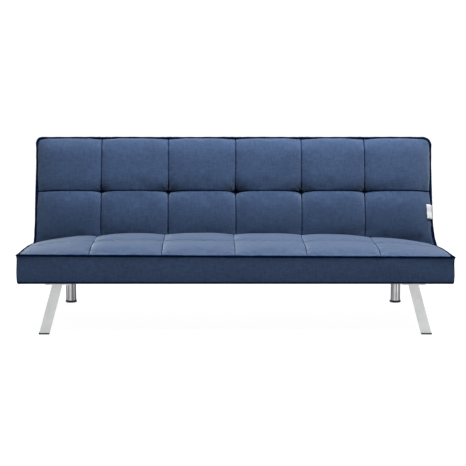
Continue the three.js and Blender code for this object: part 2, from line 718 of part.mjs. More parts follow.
function buildBaseFrame(group) {
  const low = BASE_TOP - BASE_TUBE;
  const half = BASE_TUBE / 2;
  const spacer = [BASE_TUBE, SPACER_LONG, UNDERSIDE - BASE_TOP - 2 * GAP];
  const rearSpacerY = SEAT_DEPTH - SPACER_LONG / 2 - REAR_SPACER_INSET;
  const spacerYs = [STRETCHER_FRONTS[0] + RAIL_THICK / 2, rearSpacerY];
  for (const [name, side] of SIDES) {
    const x = side * REAR_LEG_X;
    const rail = boxTube([x - half, BASE_RAIL_FRONT, low], [x + half, BASE_RAIL_REAR, BASE_TOP], 1);
    add(group, `base_rail_${name}`, rail, BLACK_STEEL);
    spacerYs.forEach((y, i) => {
      const place = i === 0 ? 'front' : 'rear';
      add(group, `base_spacer_${place}_${name}`, slab(spacer, x, y, BASE_TOP + GAP), ZINC);
    });
    const restPad = slab(REST_PAD, side * REST_PAD_X, REAR_LEG_Y, BASE_TOP + GAP);
    add(group, `bed_rest_pad_${name}`, restPad, RUBBER);
  }
  const reach = REAR_LEG_X - half - GAP;
  const cross = boxTube(
    [-reach, REAR_LEG_Y - half, low],
    [reach, REAR_LEG_Y + half, BASE_TOP],
    0,
  );
  add(group, 'base_cross_tube', cross, BLACK_STEEL);
}

// ---- Assembly -------------------------------------------------------------------------------------
const sofa = new THREE.Group();
const base = new THREE.Group();
const pivot = new THREE.Group();
const back = new THREE.Group();
pivot.position.set(0, HINGE_Y, HINGE_Z);
back.rotation.x = degToRad(FLAT_TO_UPRIGHT);
pivot.add(back);
base.add(pivot);
sofa.add(base);

buildSeat(base);
buildFrontLegs(base);
buildRearLegs(base);
buildBaseFrame(base);
buildBack(back);
buildHinges(pivot, back);

// The part's origin is on the floor, under the middle of the sofa.
const bounds = new THREE.Box3().setFromObject(sofa, true);
base.position.y = -(bounds.min.y + bounds.max.y) / 2;

export default sofa;
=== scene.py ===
"""Looks of the armless sofa bed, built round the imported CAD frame. Metres, +Z up, front facing -Y."""
import json
import math
from dataclasses import dataclass

import bpy
import numpy as np
from mathutils import Matrix, Vector


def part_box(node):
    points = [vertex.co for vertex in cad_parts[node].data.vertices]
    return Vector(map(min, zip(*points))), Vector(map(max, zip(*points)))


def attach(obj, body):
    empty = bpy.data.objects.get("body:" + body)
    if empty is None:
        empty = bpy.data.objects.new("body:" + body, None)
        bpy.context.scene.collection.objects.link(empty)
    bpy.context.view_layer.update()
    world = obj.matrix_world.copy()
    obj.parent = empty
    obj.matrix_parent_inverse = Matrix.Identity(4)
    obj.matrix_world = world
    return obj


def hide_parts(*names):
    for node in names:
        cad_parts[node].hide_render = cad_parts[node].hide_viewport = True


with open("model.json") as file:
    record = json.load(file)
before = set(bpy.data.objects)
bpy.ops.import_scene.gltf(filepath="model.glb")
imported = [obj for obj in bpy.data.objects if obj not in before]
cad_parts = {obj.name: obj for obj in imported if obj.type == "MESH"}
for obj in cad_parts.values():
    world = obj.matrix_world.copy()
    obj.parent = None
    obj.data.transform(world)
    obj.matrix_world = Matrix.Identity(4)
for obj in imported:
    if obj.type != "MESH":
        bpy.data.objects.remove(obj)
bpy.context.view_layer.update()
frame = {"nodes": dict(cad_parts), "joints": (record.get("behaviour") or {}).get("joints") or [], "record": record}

rng = np.random.default_rng(7)

# ---- Driving dimensions, in metres ----
SIDES = ("left", "right")

# The quilted panels
COLUMNS = 6  # pillows along a cushion's width
CELLS = 30  # mesh cells across one pillow, before refinement
ROW_CELLS = 26  # mesh cells along one pillow's depth
CLUSTER = 0.80  # how closely mesh lines crowd towards the seams, from 0 to below 1
CROWN_STEEPNESS = 2.2  # how steeply a cushion's crown leaves its edge
CROWN_ROUNDNESS = 0.75  # and how roundly it fills, with 1 for a plain curve
SEAM_ALLOWANCE = 0.0075  # flat cloth beside the piping before a pillow starts to rise
SEAM_CURVE = 2.4  # how sharply a pillow rolls down to its seams
SEAM_FADE = 0.55  # share of the crown's height at which the seams pull in full
SECOND_PULL = 0.35  # share of the weaker seam's pull that adds to the stronger one's
TUFT_REACH = 0.032  # how far a pulled tuft draws the fabric down along its seams
TUFT_SHADOW = 0.26  # share of a tuft's depth that the painted shade in its middle reaches across
EAR_REACH = 0.03  # distance over which a corner's ear fades
BOW = 0.006  # how far the sides of a cushion bow inwards

# The cloth that is blown up between the seams
CLOTH = {
    "quality": 5, "mass": 0.15, "air_damping": 2, "vertex_group_mass": "pinned", "shrink_min": -0.006,
    "tension_stiffness": 25, "compression_stiffness": 25, "shear_stiffness": 8, "bending_stiffness": 1.5,
    "use_pressure": True, "uniform_pressure_force": 2.2,
}
INFLATING_STEPS = 20

# Folds, puckers and unevenness
CREASE = 0.0034  # depth of the sharp groove right at the stitches
CREASE_WIDTH = 0.0022
FOLD_SPOKES = (5, 8, 11)  # numbers of folds that fan out from one tuft, laid over each other
FOLD_CORE = 0.012  # distance from a tuft at which its folds are deepest
FOLD_REACH = 0.030  # how far they run, and how much farther some of them run
FOLD_EXTRA_REACH = 0.022
FOLD_FADE = 0.40  # share of the crown's height at which they are at full depth
TURN = 6.28  # a whole turn, for random phases
PUCKER = 0.0006  # depth of the puckers along a seam, their reach from it and their pitch
PUCKER_REACH = 0.014
PUCKER_PITCH_ALONG = 0.019
PUCKER_PITCH_ACROSS = 0.021
PUCKER_WANDER = 0.9
PUCKER_WAVES = (7, 24)  # waves along the depth and along the width
UNEVENNESS = 0.0012  # slow unevenness of the stuffing
STUFFING_WAVES = (5, 15)
NOISE_WAVES = 14
NOISE_REACH = (0.5, 1.2)  # shortest and longest wave, as a share of the asked number
NOISE_HEIGHT = 5  # brings the waves' sum to about 1

# The plain borders
BORDER_LEVELS = 15  # rings of points down a border
BORDER_TOP = 0.05  # share of its height where the first ring lies, and the last
BORDER_FOOT = 0.94
BORDER_SETTLE = 0.12  # share of its height over which it finds the frame's outline
BORDER_BELLY = 0.0022  # how far the border swells out
BORDER_GATHER = 0.0007  # its gathers at the seam, their pitch and how far down they fade
GATHER_PITCH = 0.023
GATHER_FADE = 0.10
BORDER_SWAY = 0.0011  # its slow waves
SWAY_WAVES = 9
FRAME_GAP_SIDE = 0.0010  # the settled border stays this far inside the cover's box
FRAME_GAP_END = 0.0012
TOUCHING = 1e-6  # a point nearer than this to an edge is on it
TINY = 1e-12  # keeps a length of nothing from being divided by
HEM_ROUNDING = 0.006
HEM_TURNS = (30, 60, 90)  # degrees of the rings that round the lower edge
HEM_WRAP = 0.024  # cover fabric turned under the frame and stapled
HEM_STEP = 0.0014  # distance over which it steps up behind the lining, and how far
HEM_LIFT = 0.0018
# radius of the dark cord laid along the border's lower edge as painted shade
HEM_RADIUS = 0.0022
CORNER_SEAM_RADIUS = 0.0019
CORNER_SEAM_PROUD = 0.0004  # how far the corner seams stand out of the cloth
SEAM_SIDES = 8

# Cords and stitches
CAD_PIPING_RADIUS = 0.0030
THINNED_REACH = 0.05  # distance from the front edge over which a thinned cord fills out
CORD_POINT_GAP = 0.0048  # about how far apart the cord's points lie
CORD_UNEVENNESS = 0.05  # share by which the cord swells and thins, over two lengths
CORD_WAVES = (0.007, 0.031)
CORD_SIDES = 10
STITCH_PITCH = 0.0065
STITCH_LENGTH = 0.0044
STITCH_RADIUS = 0.0006
STITCH_RISE = 0.0003  # a stitch's middle lies this far above the cloth
STITCH_PROFILE = ((-0.5, 0.35), (-0.36, 0.9), (0.0, 1.0), (0.36, 0.9), (0.5, 0.35))
STITCH_SIDES = 6
UNSTITCHED = 8  # grid lines at each end of a seam without visible stitches

# Linings, staples, tab and screws
SHEET_POINTS = (120, 60)  # across and along
SHEET_THICKNESS = 0.0008
SHEET_FREE = 0.09  # distance from the staples at which the cloth ripples freely
SHEET_RIPPLE = 0.0004
SHEET_WAVES = (4, 9)
STAPLE_PULL = 0.0003  # height of the small waves between staples, and how far in they run
STAPLE_PULL_REACH = 0.02
STAPLE_PITCH = 0.055
STAPLE_INSET = 0.012
STAPLE_CROWN = 0.010
STAPLE_WIRE = 0.0006  # half the wire's thickness
STAPLE_TAPER = 0.999  # size of a staple's outer face, as a share of its inner one
STAPLE_WANDER = (0.002, 0.0012)  # unevenness of hand stapling, along the row and across it
STAPLE_BEVEL = 0.0003
TAB_WIDTH = 0.023
TAB_THICKNESS = 0.0011
TAB_POINTS = (16, 8)
TAB_INSET = 0.0095  # how far the tab's sewn edge lies inside the side seam
TAB_SLANT = 0.003  # how much farther inside its upper end lies
TAB_CONTACT = 0.006  # cloth this near holds the tab up
TAB_GAP = 0.0022  # height of its sewn edge above the pillow, and more at its free edge
TAB_LIFT = 0.003
TAB_WAVE = 0.0008
TAB_SMOOTHINGS = 3
SCREW_SIDES = 24
PAN_SCREW = (  # radius and height of each ring of a screw head with its recess
    (0.0055, 0.0), (0.0055, 0.0008), (0.0050, 0.0022), (0.0036, 0.0031),
    (0.0022, 0.0033), (0.0018, 0.0026), (0.0016, 0.0018),
)
HEAD_GAP = 0.0001
LEG_PLATE_INSET = 0.011
RAIL_BOLT_SPACERS = ("base_spacer_front", "base_spacer_rear")
THREAD_PITCH = 0.0011  # of the cover's weave

# Stage, lights and camera
FLOOR_HALF_WIDTH = 14.0
FLOOR_FRONT = -9.0
FLOOR_BEND = 4.0  # where the floor starts to curve up, and how roundly
FLOOR_RADIUS = 2.5
FLOOR_TOP = 9.0
FLOOR_DROP = 0.0002  # the floor lies this far below the feet
FLOOR_GLOW = 0.96
SURROUND_RADIUS = 13.5
SURROUND_LOW_HIGH = (-3.0, 14.0)
SURROUND_SIDES = 96
LIGHTS = (  # name, place, aim, size and watts
    ("overhead_softbox", (0.55, -0.5, 3.0), (0, 0, 0.3), (3.4, 2.4), 472),
    ("front_fill", (2.4, -4.2, 2.4), (0, 0, 0.4), (1.6, 1.6), 3),
)
WORLD_STRENGTH = 0.06
CAMERA_PLACE = (-0.080, -6.0408, 1.231)
CAMERA_DIP = 8.4  # degrees below level
FOCAL_LENGTH = 116.2  # millimetres, on a 36 mm sensor
SENSOR_WIDTH = 36
CAMERA_SHIFT = (0.0394, 0.004)

# ---- Reading places from the frame ----
joints = {joint["name"]: joint for joint in frame["joints"]}
pivot = Vector(joints["back_recline"]["pos_m"])
upright = Matrix.Translation(pivot) @ Matrix.Rotation(
    math.radians(joints["back_recline"]["range_deg"][1]), 4, "X"
)
level = Matrix.Identity(4)


def box_in(node, to_world):
    """A CAD node's box in a cushion's own axes, lying flat."""
    inverse = to_world.inverted()
    points = np.array([inverse @ v.co for v in frame["nodes"][node].data.vertices])
    return Vector(points.min(0)), Vector(points.max(0))


# ---- Cushions: shape ----
@dataclass
class Cushion:
    """One tufted cushion lying flat: x across, y away from its front edge, z up through its pillows."""

    name: str
    body: str
    to_world: Matrix
    row_seam: float  # share of the depth, from the front edge, where the cross seam runs
    crown: float
    side_run: float  # distances over which the crown rises from each edge
    front_run: float
    rear_run: float
    rise: float  # distance from a seam over which a pillow rounds off
    valley: float  # how far the lengthwise seams lie below the pillows
    cross_valley: float  # and the cross seam
    tufts: list  # depth of each tuft from left to right
    seam_drift: list  # the hand-sewn seams wander a little off their even spacing
    pinch: float  # strength of the folds that fan out from the tufts
    swell: float  # the most that inflation may move the cloth
    ears: dict  # how far each front corner stands out
    droop: float  # how far the rear corners sink
    tilt: float  # how much lower the seam is at the right end than at the left
    corners: dict  # radius of each rounded corner of the panel
    cord: float  # radius of the edge cord
    thinned: float  # share by which the cord is thinner along the front edge
    groove: float  # cloth this near a seam takes painted shade: a darker, sheen-free copy of the cover cloth in the fold

    def __post_init__(self):
        cover_low, cover_high = box_in(f"{self.name}_cover", self.to_world)
        piping_low, piping_high = box_in(f"{self.name}_piping", self.to_world)
        self.half = cover_high.x
        self.front = cover_low.y
        self.rear = cover_high.y
        self.low = cover_low.z
        self.seam = (piping_low.z + piping_high.z) / 2
        self.cross = self.front + self.row_seam * (self.rear - self.front)
        self.seams_x = np.array(
            [self.half * (2 * i / COLUMNS - 1) + d for i, d in zip(range(1, COLUMNS), self.seam_drift)]
        )


def rolled(distance, run):
    """From 0 at an edge to 1 where the crown is full, steep at first."""
    t = np.clip(distance / run, 0, 1)
    return (1 - (1 - t) ** CROWN_STEEPNESS) ** CROWN_ROUNDNESS


def envelope(c, x, y):
    """Height of the pillow tops above the piping, without the seams."""
    across = rolled(c.half - SEAM_ALLOWANCE - np.abs(x), c.side_run)
    front = rolled(y - c.front - SEAM_ALLOWANCE, c.front_run)
    rear = rolled(c.rear - SEAM_ALLOWANCE - y, c.rear_run)
    return c.crown * across * front * rear


def seam_distances(c, x, y):
    """Distance to the nearest lengthwise seam, its number, and the distance to the cross seam."""
    gaps = np.abs(x[..., None] - c.seams_x)
    nearest = gaps.argmin(-1)
    return gaps.min(-1), nearest, np.abs(y - c.cross)


def seam_pull(c, x, y):
    """How far the stitched seams and tufts draw the fabric down."""
    to_seam, nearest, to_cross = seam_distances(c, x, y)
    tuft = np.array(c.tufts)[nearest]
    along_seam = c.valley + (tuft - c.valley) * np.exp(-to_cross / TUFT_REACH)
    along_cross = c.cross_valley + (tuft - c.cross_valley) * np.exp(-to_seam / TUFT_REACH)
    seam_share = (1 - np.clip(to_seam / c.rise, 0, 1)) ** SEAM_CURVE
    cross_share = (1 - np.clip(to_cross / c.rise, 0, 1)) ** SEAM_CURVE
    pulls = np.stack([along_seam * seam_share, along_cross * cross_share])
    return pulls.max(0) + SECOND_PULL * pulls.min(0)


def round_corners(c, x, y):
    """Maps each square corner of the flat panel onto a quarter disc."""
    round_x, round_y = x.copy(), y.copy()
    for corner, radius in c.corners.items():
        side = -1 if corner.endswith("left") else 1
        a = (side * x - (c.half - radius)) / radius
        b = (y - (c.rear - radius)) / radius
        inside = (a > 0) & (b > 0)
        a, b = np.clip(a, 0, 1), np.clip(b, 0, 1)
        round_x = np.where(inside, side * (c.half - radius + radius * a * np.sqrt(1 - b**2 / 2)), round_x)
        round_y = np.where(inside, c.rear - radius + radius * b * np.sqrt(1 - a**2 / 2), round_y)
    return round_x, round_y


def edge_shape(c, x, y):
    """Moves a flat point to where the sewn cover puts it: ears at the front, bowed sides, sunk rear."""
    x, y = round_corners(c, x, y)
    share_x = x / c.half
    share_y = (y - c.front) / (c.rear - c.front)
    corner = np.exp(-((c.half - np.abs(x)) + (y - c.front)) / EAR_REACH)
    bow = BOW * np.abs(share_x) ** 6 * np.sin(np.pi * np.clip(share_y, 0, 1)) ** 0.5
    ear = np.where(x < 0, c.ears["left"], c.ears["right"]) * corner
    moved_x = x + np.sign(x) * (ear - bow)
    moved_y = y - ear
    sink = c.droop * share_y**2 * np.abs(share_x) ** 3 + c.tilt * share_x / 2
    return moved_x, moved_y, sink


def panel_grid(c):
    """The flat grid of the quilted panel, with grid lines on every seam."""
    stops_x = np.concatenate([[-c.half], c.seams_x, [c.half]])
    stops_y = np.array([c.front, c.cross, c.rear])

    def line(stops, cells):
        share = np.linspace(0, 1, cells, endpoint=False)
        crowded = share - CLUSTER * np.sin(2 * math.pi * share) / (2 * math.pi)
        return np.concatenate([a + (b - a) * crowded for a, b in zip(stops, stops[1:])] + [stops[-1:]])

    x, y = np.meshgrid(line(stops_x, CELLS), line(stops_y, ROW_CELLS))
    return x, y


def panel_start(c, x, y):
    """The quilted panel before it is inflated."""
    height = envelope(c, x, y)
    fade = np.clip(height / (SEAM_FADE * c.crown), 0, 1)
    moved_x, moved_y, sink = edge_shape(c, x, y)
    z = c.seam + height - fade * seam_pull(c, x, y) - sink
    return np.stack([moved_x, moved_y, z], -1)


# ---- Cushions: mesh helpers ----
def grid_faces(rows, columns):
    """Four-sided faces over a grid of points."""
    index = np.arange(rows * columns).reshape(rows, columns)
    quads = np.stack([index[:-1, :-1], index[:-1, 1:], index[1:, 1:], index[1:, :-1]], -1)
    return quads.reshape(-1, 4)


def new_mesh(name, points, faces, uvs=None):
    mesh = bpy.data.meshes.new(name)
    mesh.from_pydata([tuple(p) for p in points], [], [tuple(int(i) for i in f) for f in faces])
    if uvs is not None:
        layer = mesh.uv_layers.new(name="UVMap")
        loops = np.zeros(len(mesh.loops), int)
        mesh.loops.foreach_get("vertex_index", loops)
        layer.data.foreach_set("uv", np.asarray(uvs, np.float32)[loops].ravel())
    mesh.polygons.foreach_set("use_smooth", [True] * len(mesh.polygons))
    mesh.update()
    return mesh


def new_object(name, mesh, material=None):
    obj = bpy.data.objects.new(name, mesh)
    bpy.context.scene.collection.objects.link(obj)
    if material is not None:
        mesh.materials.append(material)
    return obj


def placed(name, points, faces, material, to_world=level, uvs=None):
    """A new object whose points are given in a cushion's own axes, or in the room's."""
    obj = new_object(name, new_mesh(name, points, faces, uvs), material)
    obj.matrix_world = to_world
    return obj


def circle(centre, side, top, radius, sides):
    """Points round a centre, in the plane of two unit directions."""
    turns = np.linspace(0, 2 * math.pi, sides, endpoint=False)
    return [centre + radius * (math.cos(turn) * side + math.sin(turn) * top) for turn in turns]


def inflate(points, pinned, most):
    """Blows the panel up as cloth between its pinned seams, and returns the new points."""
    rows, columns = points.shape[:2]
    flat = points.reshape(-1, 3)
    obj = new_object("inflating", new_mesh("inflating", flat, grid_faces(rows, columns)))
    group = obj.vertex_groups.new(name="pinned")
    group.add([int(i) for i in np.flatnonzero(pinned.ravel())], 1.0, "REPLACE")
    cloth = obj.modifiers.new("Cloth", "CLOTH")
    for setting, value in CLOTH.items():
        setattr(cloth.settings, setting, value)
    cloth.settings.effector_weights.gravity = 0
    cloth.collision_settings.use_collision = False
    scene = bpy.context.scene
    for step in range(1, INFLATING_STEPS + 1):
        scene.frame_set(step)
    evaluated = obj.evaluated_get(bpy.context.evaluated_depsgraph_get())
    moved = np.zeros(len(flat) * 3)
    evaluated.data.vertices.foreach_get("co", moved)
    scene.frame_set(1)
    mesh = obj.data
    bpy.data.objects.remove(obj)
    bpy.data.meshes.remove(mesh)
    travel = moved.reshape(-1, 3) - flat
    length = np.linalg.norm(travel, axis=1, keepdims=True)
    capped = unit(travel) * np.minimum(length, most)
    return (flat + capped).reshape(points.shape)


def halfway(values, breaks, axis):
    """Doubles a grid along one axis with a smooth curve between breaks, and a crease at each break."""
    values = np.moveaxis(values, axis, 0)
    pieces = []
    for start, stop in zip(breaks, breaks[1:]):
        part = values[start : stop + 1]
        padded = np.concatenate([2 * part[:1] - part[1:2], part, 2 * part[-1:] - part[-2:-1]])
        middle = (9 * (padded[1:-2] + padded[2:-1]) - padded[:-3] - padded[3:]) / 16
        woven = np.empty((2 * len(part) - 1,) + part.shape[1:])
        woven[0::2] = part
        woven[1::2] = middle
        pieces.append(woven[:-1])
    pieces.append(values[-1:])
    return np.moveaxis(np.concatenate(pieces), 0, axis)


def refined(values):
    """Doubles a panel's grid both ways, keeping its seams sharp."""
    columns = [i * CELLS for i in range(COLUMNS + 1)]
    rows = [0, ROW_CELLS, 2 * ROW_CELLS]
    return halfway(halfway(values, columns, 1), rows, 0)


def unit(vectors):
    """The same directions at length one."""
    return vectors / np.maximum(np.linalg.norm(vectors, axis=-1, keepdims=True), TINY)


def run_along(path):
    """Distance along a path at each of its points."""
    return np.concatenate([[0], np.cumsum(np.linalg.norm(np.diff(path, axis=0), axis=1))])


def grid_normals(points):
    return unit(np.cross(np.gradient(points, axis=1), np.gradient(points, axis=0)))


def smooth_noise(shape, cells, seed):
    """Soft random values between -1 and 1 on a grid, from a few waves in random directions."""
    source = np.random.default_rng(seed)
    rows, columns = np.meshgrid(np.linspace(0, 1, shape[0]), np.linspace(0, 1, shape[1]), indexing="ij")
    total = np.zeros(shape)
    for _ in range(NOISE_WAVES):
        turn = source.uniform(0, 2 * math.pi)
        reach = source.uniform(*NOISE_REACH)
        phase = source.uniform(0, 2 * math.pi)
        wave = cells[0] * math.sin(turn) * rows + cells[1] * math.cos(turn) * columns
        total += np.sin(2 * math.pi * reach * wave + phase)
    return total / NOISE_HEIGHT


def pinch_folds(c, x, y, fade):
    """Folds that fan out from each tuft, and small puckers along the seams."""
    to_seam, _, to_cross = seam_distances(c, x, y)
    folds = np.zeros(x.shape)
    for i, seam_x in enumerate(c.seams_x):
        source = np.random.default_rng(31 * i + len(c.name))
        away_x, away_y = x - seam_x, y - c.cross
        radius = np.hypot(away_x, away_y)
        angle = np.arctan2(away_y, away_x)
        depth = c.pinch * c.tufts[i] / max(c.tufts)
        fan = np.zeros(x.shape)
        for spokes in FOLD_SPOKES:
            fan += np.cos(spokes * angle + source.uniform(0, TURN)) * source.uniform(0.5, 1)
        reach = FOLD_REACH + FOLD_EXTRA_REACH * np.cos(2 * angle + source.uniform(0, TURN)) ** 2
        spread = radius / FOLD_CORE
        folds += depth * fan * spread / (1 + spread**2) * np.exp(-radius / reach)
    wander = PUCKER_WANDER * smooth_noise(x.shape, PUCKER_WAVES, 5)
    along = y / PUCKER_PITCH_ALONG + wander
    across = x / PUCKER_PITCH_ACROSS + wander
    pucker = np.sin(2 * math.pi * along) * np.exp(-to_seam / PUCKER_REACH)
    pucker += np.sin(2 * math.pi * across) * np.exp(-to_cross / PUCKER_REACH)
    crease = CREASE * (np.exp(-to_seam / CREASE_WIDTH) + np.exp(-to_cross / CREASE_WIDTH))
    return (folds + PUCKER * pucker - np.minimum(crease, CREASE)) * fade


def quilted_panel(c):
    """The finished points of a cushion's quilted panel and their flat places."""
    x, y = panel_grid(c)
    points = panel_start(c, x, y)
    on_seam = np.zeros(x.shape, bool)
    on_seam[:, [i * CELLS for i in range(COLUMNS + 1)]] = True
    on_seam[[0, ROW_CELLS, 2 * ROW_CELLS], :] = True
    points = inflate(points, on_seam, c.swell)
    points, x, y = refined(points), refined(x), refined(y)
    fade = np.clip(envelope(c, x, y) / (FOLD_FADE * c.crown), 0, 1)
    stuffing = UNEVENNESS * smooth_noise(x.shape, STUFFING_WAVES, 11)
    lift = pinch_folds(c, x, y, fade) + stuffing * fade
    return points + grid_normals(points) * lift[..., None], x, y


def rim(grid):
    """The outer ring of a grid, anticlockwise from its front left corner."""
    return np.concatenate([grid[0, :-1], grid[:-1, -1], grid[-1, :0:-1], grid[:0:-1, 0]])


def slow_waves(around, shift):
    """Uneven waves along a border, from a few even ones. around runs from 0 to 1."""
    total = 0
    for k in range(SWAY_WAVES):
        total = total + math.sin(1.7 * k) * np.sin(2 * math.pi * (k + 5) * around + 2.1 * k + shift)
    return total / 4


def border_rings(c, ring, flat):
    """Rings of points from the piping down the border and under the frame."""
    run = run_along(ring[:, :2])
    around = run / run[-1]
    centre_y = (c.front + c.rear) / 2
    x, y = flat[:, 0], flat[:, 1]
    inward = np.stack([-np.sign(x) * (np.abs(x) > c.half - TOUCHING), np.sign(centre_y - y)], -1)
    inward[:, 1] *= (np.abs(y - c.front) < TOUCHING) | (np.abs(y - c.rear) < TOUCHING)
    base = np.stack(round_corners(c, x, y), -1)
    base = np.stack([
        np.clip(base[:, 0], -c.half + FRAME_GAP_SIDE, c.half - FRAME_GAP_SIDE),
        np.clip(base[:, 1], c.front + FRAME_GAP_END, c.rear - FRAME_GAP_END),
    ], -1)
    rings = []
    height = ring[:, 2] - c.low
    first_sway, second_sway = slow_waves(around, 0.0), slow_waves(around, 1.3)
    for share in np.linspace(BORDER_TOP, BORDER_FOOT, BORDER_LEVELS):
        settle = min(1.0, share / BORDER_SETTLE)
        belly = BORDER_BELLY * math.sin(math.pi * share)
        gather = BORDER_GATHER * np.sin(2 * math.pi * run / GATHER_PITCH)
        gather *= math.exp(-share / GATHER_FADE)
        sway = first_sway * math.sin(math.pi * share) + second_sway * math.sin(2 * math.pi * share)
        out = -inward * np.maximum(belly + gather + BORDER_SWAY * sway, 0)[:, None]
        plan = ring[:, :2] * (1 - settle) + base * settle + out
        rings.append(np.column_stack([plan, c.low + height * (1 - share)]))
    last = rings[-1]
    drop = last[:, 2] - c.low
    for turn in HEM_TURNS:
        angle = math.radians(turn)
        inset = HEM_ROUNDING * (1 - math.cos(angle))
        plan = last[:, :2] + inward * inset
        rings.append(np.column_stack([plan, last[:, 2] - drop * math.sin(angle)]))
    rounded = rings[-1]
    for inset in (HEM_STEP, HEM_WRAP):
        under = rounded.copy()
        under[:, :2] += inward * inset
        under[:, 2] += HEM_LIFT
        rings.append(under)
    return rings, run


def face_centres(values):
    """The middle of each grid face."""
    return (values[:-1, :-1] + values[1:, :-1] + values[1:, 1:] + values[:-1, 1:]) / 4


def cover_mesh(c, material):
    """Quilted panel and border as one cover, with flat cloth coordinates for its weave."""
    points, x, y = quilted_panel(c)
    ring, flat = rim(points), rim(np.stack([x, y], -1))
    rings, run = border_rings(c, ring, flat)
    rows, columns = x.shape
    ring_index = rim(np.arange(rows * columns).reshape(rows, columns))
    count = len(ring)
    verts = np.concatenate([points.reshape(-1, 3)] + rings)
    faces = grid_faces(rows, columns).tolist()
    flat_uv = np.stack([x, y], -1).reshape(-1, 2)
    uvs = [flat_uv[face] for face in faces]
    depth = [np.zeros(count)]
    for before, after in zip([ring] + rings, rings):
        depth.append(depth[-1] - np.linalg.norm(after - before, axis=1))
    length = run[-1] + np.linalg.norm(ring[-1] - ring[0])
    levels = [ring_index] + [rows * columns + k * count + np.arange(count) for k in range(len(rings))]
    for k, (upper, lower) in enumerate(zip(levels, levels[1:])):
        for i in range(count):
            j = (i + 1) % count
            u_i, u_j = run[i], run[j] if j else length
            faces.append([upper[i], lower[i], lower[j], upper[j]])
            uvs.append(np.array([
                (u_i, depth[k][i]), (u_i, depth[k + 1][i]), (u_j, depth[k + 1][j]), (u_j, depth[k][j])
            ]))
    mesh = new_mesh(f"{c.name}_cover", verts, faces)
    layer = mesh.uv_layers.new(name="UVMap")
    layer.data.foreach_set("uv", np.concatenate(uvs).astype(np.float32).ravel())
    cover = new_object(f"{c.name}_upholstery", mesh, material)
    # A second slot, for the painted shade in the seam folds and tuft pits.
    mesh.materials.append(finishes["seam_painted_shade"])
    centre_x, centre_y = face_centres(x), face_centres(y)
    to_seam, nearest, to_cross = seam_distances(c, centre_x, centre_y)
    # Faces near a seam or a tuft take the painted shade.
    in_painted_shade = np.zeros(len(mesh.polygons), int)
    to_tuft = np.hypot(to_seam, to_cross)
    tuft = np.array(c.tufts)[nearest]
    in_painted_shade[: centre_x.size] = (
        (np.minimum(to_seam, to_cross) < c.groove) | (to_tuft < TUFT_SHADOW * tuft)
    ).ravel()
    mesh.polygons.foreach_set("material_index", in_painted_shade)
    cover.matrix_world = c.to_world
    return cover, points, ring, rings


def capped_tube(first, levels, sides):
    """Faces of a tube of stacked rings, with both ends closed."""
    faces = []
    for level in range(levels - 1):
        for k in range(sides):
            a = first + level * sides + k
            b = first + level * sides + (k + 1) % sides
            faces.append([a, b, b + sides, a + sides])
    faces.append([first + k for k in reversed(range(sides))])
    faces.append([first + (levels - 1) * sides + k for k in range(sides)])
    return faces


def tube_points(path, radius, sides):
    """A closed tube round a closed path: its points and faces."""
    ahead = unit(np.roll(path, -1, 0) - np.roll(path, 1, 0))
    side = unit(np.cross(ahead, [0, 0, 1.0]))
    up = np.cross(side, ahead)
    turn = np.linspace(0, 2 * math.pi, sides, endpoint=False)
    size = np.broadcast_to(radius, len(path))[:, None, None]
    circle = np.cos(turn)[None, :, None] * side[:, None] + np.sin(turn)[None, :, None] * up[:, None]
    points = path[:, None] + size * circle
    count = len(path)
    faces = []
    for i in range(count):
        for k in range(sides):
            a, b = i * sides + k, i * sides + (k + 1) % sides
            j = (i + 1) % count
            faces.append([a, b, j * sides + (k + 1) % sides, j * sides + k])
    return points.reshape(-1, 3), faces


def piping_object(c, ring, material):
    """Corded edging sewn into the seam between panel and border."""
    path = ring.copy()
    ahead = np.roll(path, -1, 0) - np.roll(path, 1, 0)
    away = unit(np.stack([ahead[:, 1], -ahead[:, 0]], -1))
    thickness = 1 - c.thinned * np.exp(-(path[:, 1] - c.front) / THINNED_REACH)
    path[:, :2] += (CAD_PIPING_RADIUS - c.cord * thickness)[:, None] * away
    run = np.arange(len(path)) * CORD_POINT_GAP
    wobble = 1 + CORD_UNEVENNESS * sum(np.sin(run / length) for length in CORD_WAVES)
    points, faces = tube_points(path, c.cord * thickness * wobble, CORD_SIDES)
    return placed(f"{c.name}_edge_cord", points, faces, material, c.to_world)


def hem_shade_cord(c, rings, material):
    """A dark cord along the border's lower edge, where the cover turns under, standing in as painted shade for
    that edge.
    """
    points, faces = tube_points(rings[BORDER_LEVELS - 1], HEM_RADIUS, SEAM_SIDES)
    return placed(f"{c.name}_hem_welt", points, faces, material, c.to_world)


def stitch_object(name, lines, material, to_world):
    """Every visible stitch along some seams, as one mesh of small rounded dashes."""
    verts, faces = [], []
    for line, up in lines:
        run = run_along(line)
        for start in np.arange(0.6 * STITCH_PITCH, run[-1] - STITCH_PITCH, STITCH_PITCH):
            places = np.array([start, start + STITCH_LENGTH])
            ends = np.stack([np.interp(places, run, line[:, k]) for k in range(3)], -1)
            rise = np.array([np.interp(places[0], run, up[:, k]) for k in range(3)])
            ahead = ends[1] - ends[0]
            length = np.linalg.norm(ahead)
            ahead /= length
            side = unit(np.cross(ahead, rise))
            top = np.cross(side, ahead)
            centre = ends.mean(0) + STITCH_RISE * rise
            first = len(verts)
            for along, share in STITCH_PROFILE:
                spot = centre + along * length * ahead
                verts += circle(spot, side, top, STITCH_RADIUS * share, STITCH_SIDES)
            faces += capped_tube(first, len(STITCH_PROFILE), STITCH_SIDES)
    return placed(name, verts, faces, material, to_world)


def seam_stitches(c, points, material):
    """Stitches in the bottom of each lengthwise seam and of the cross seam."""
    normals = grid_normals(points)
    stitched = slice(UNSTITCHED, -UNSTITCHED)
    lines = []
    for i in range(1, COLUMNS):
        column = i * 2 * CELLS
        lines.append((points[stitched, column], normals[stitched, column]))
    row = 2 * ROW_CELLS
    lines.append((points[row, stitched], normals[row, stitched]))
    return stitch_object(f"{c.name}_quilting_stitches", lines, material, c.to_world)


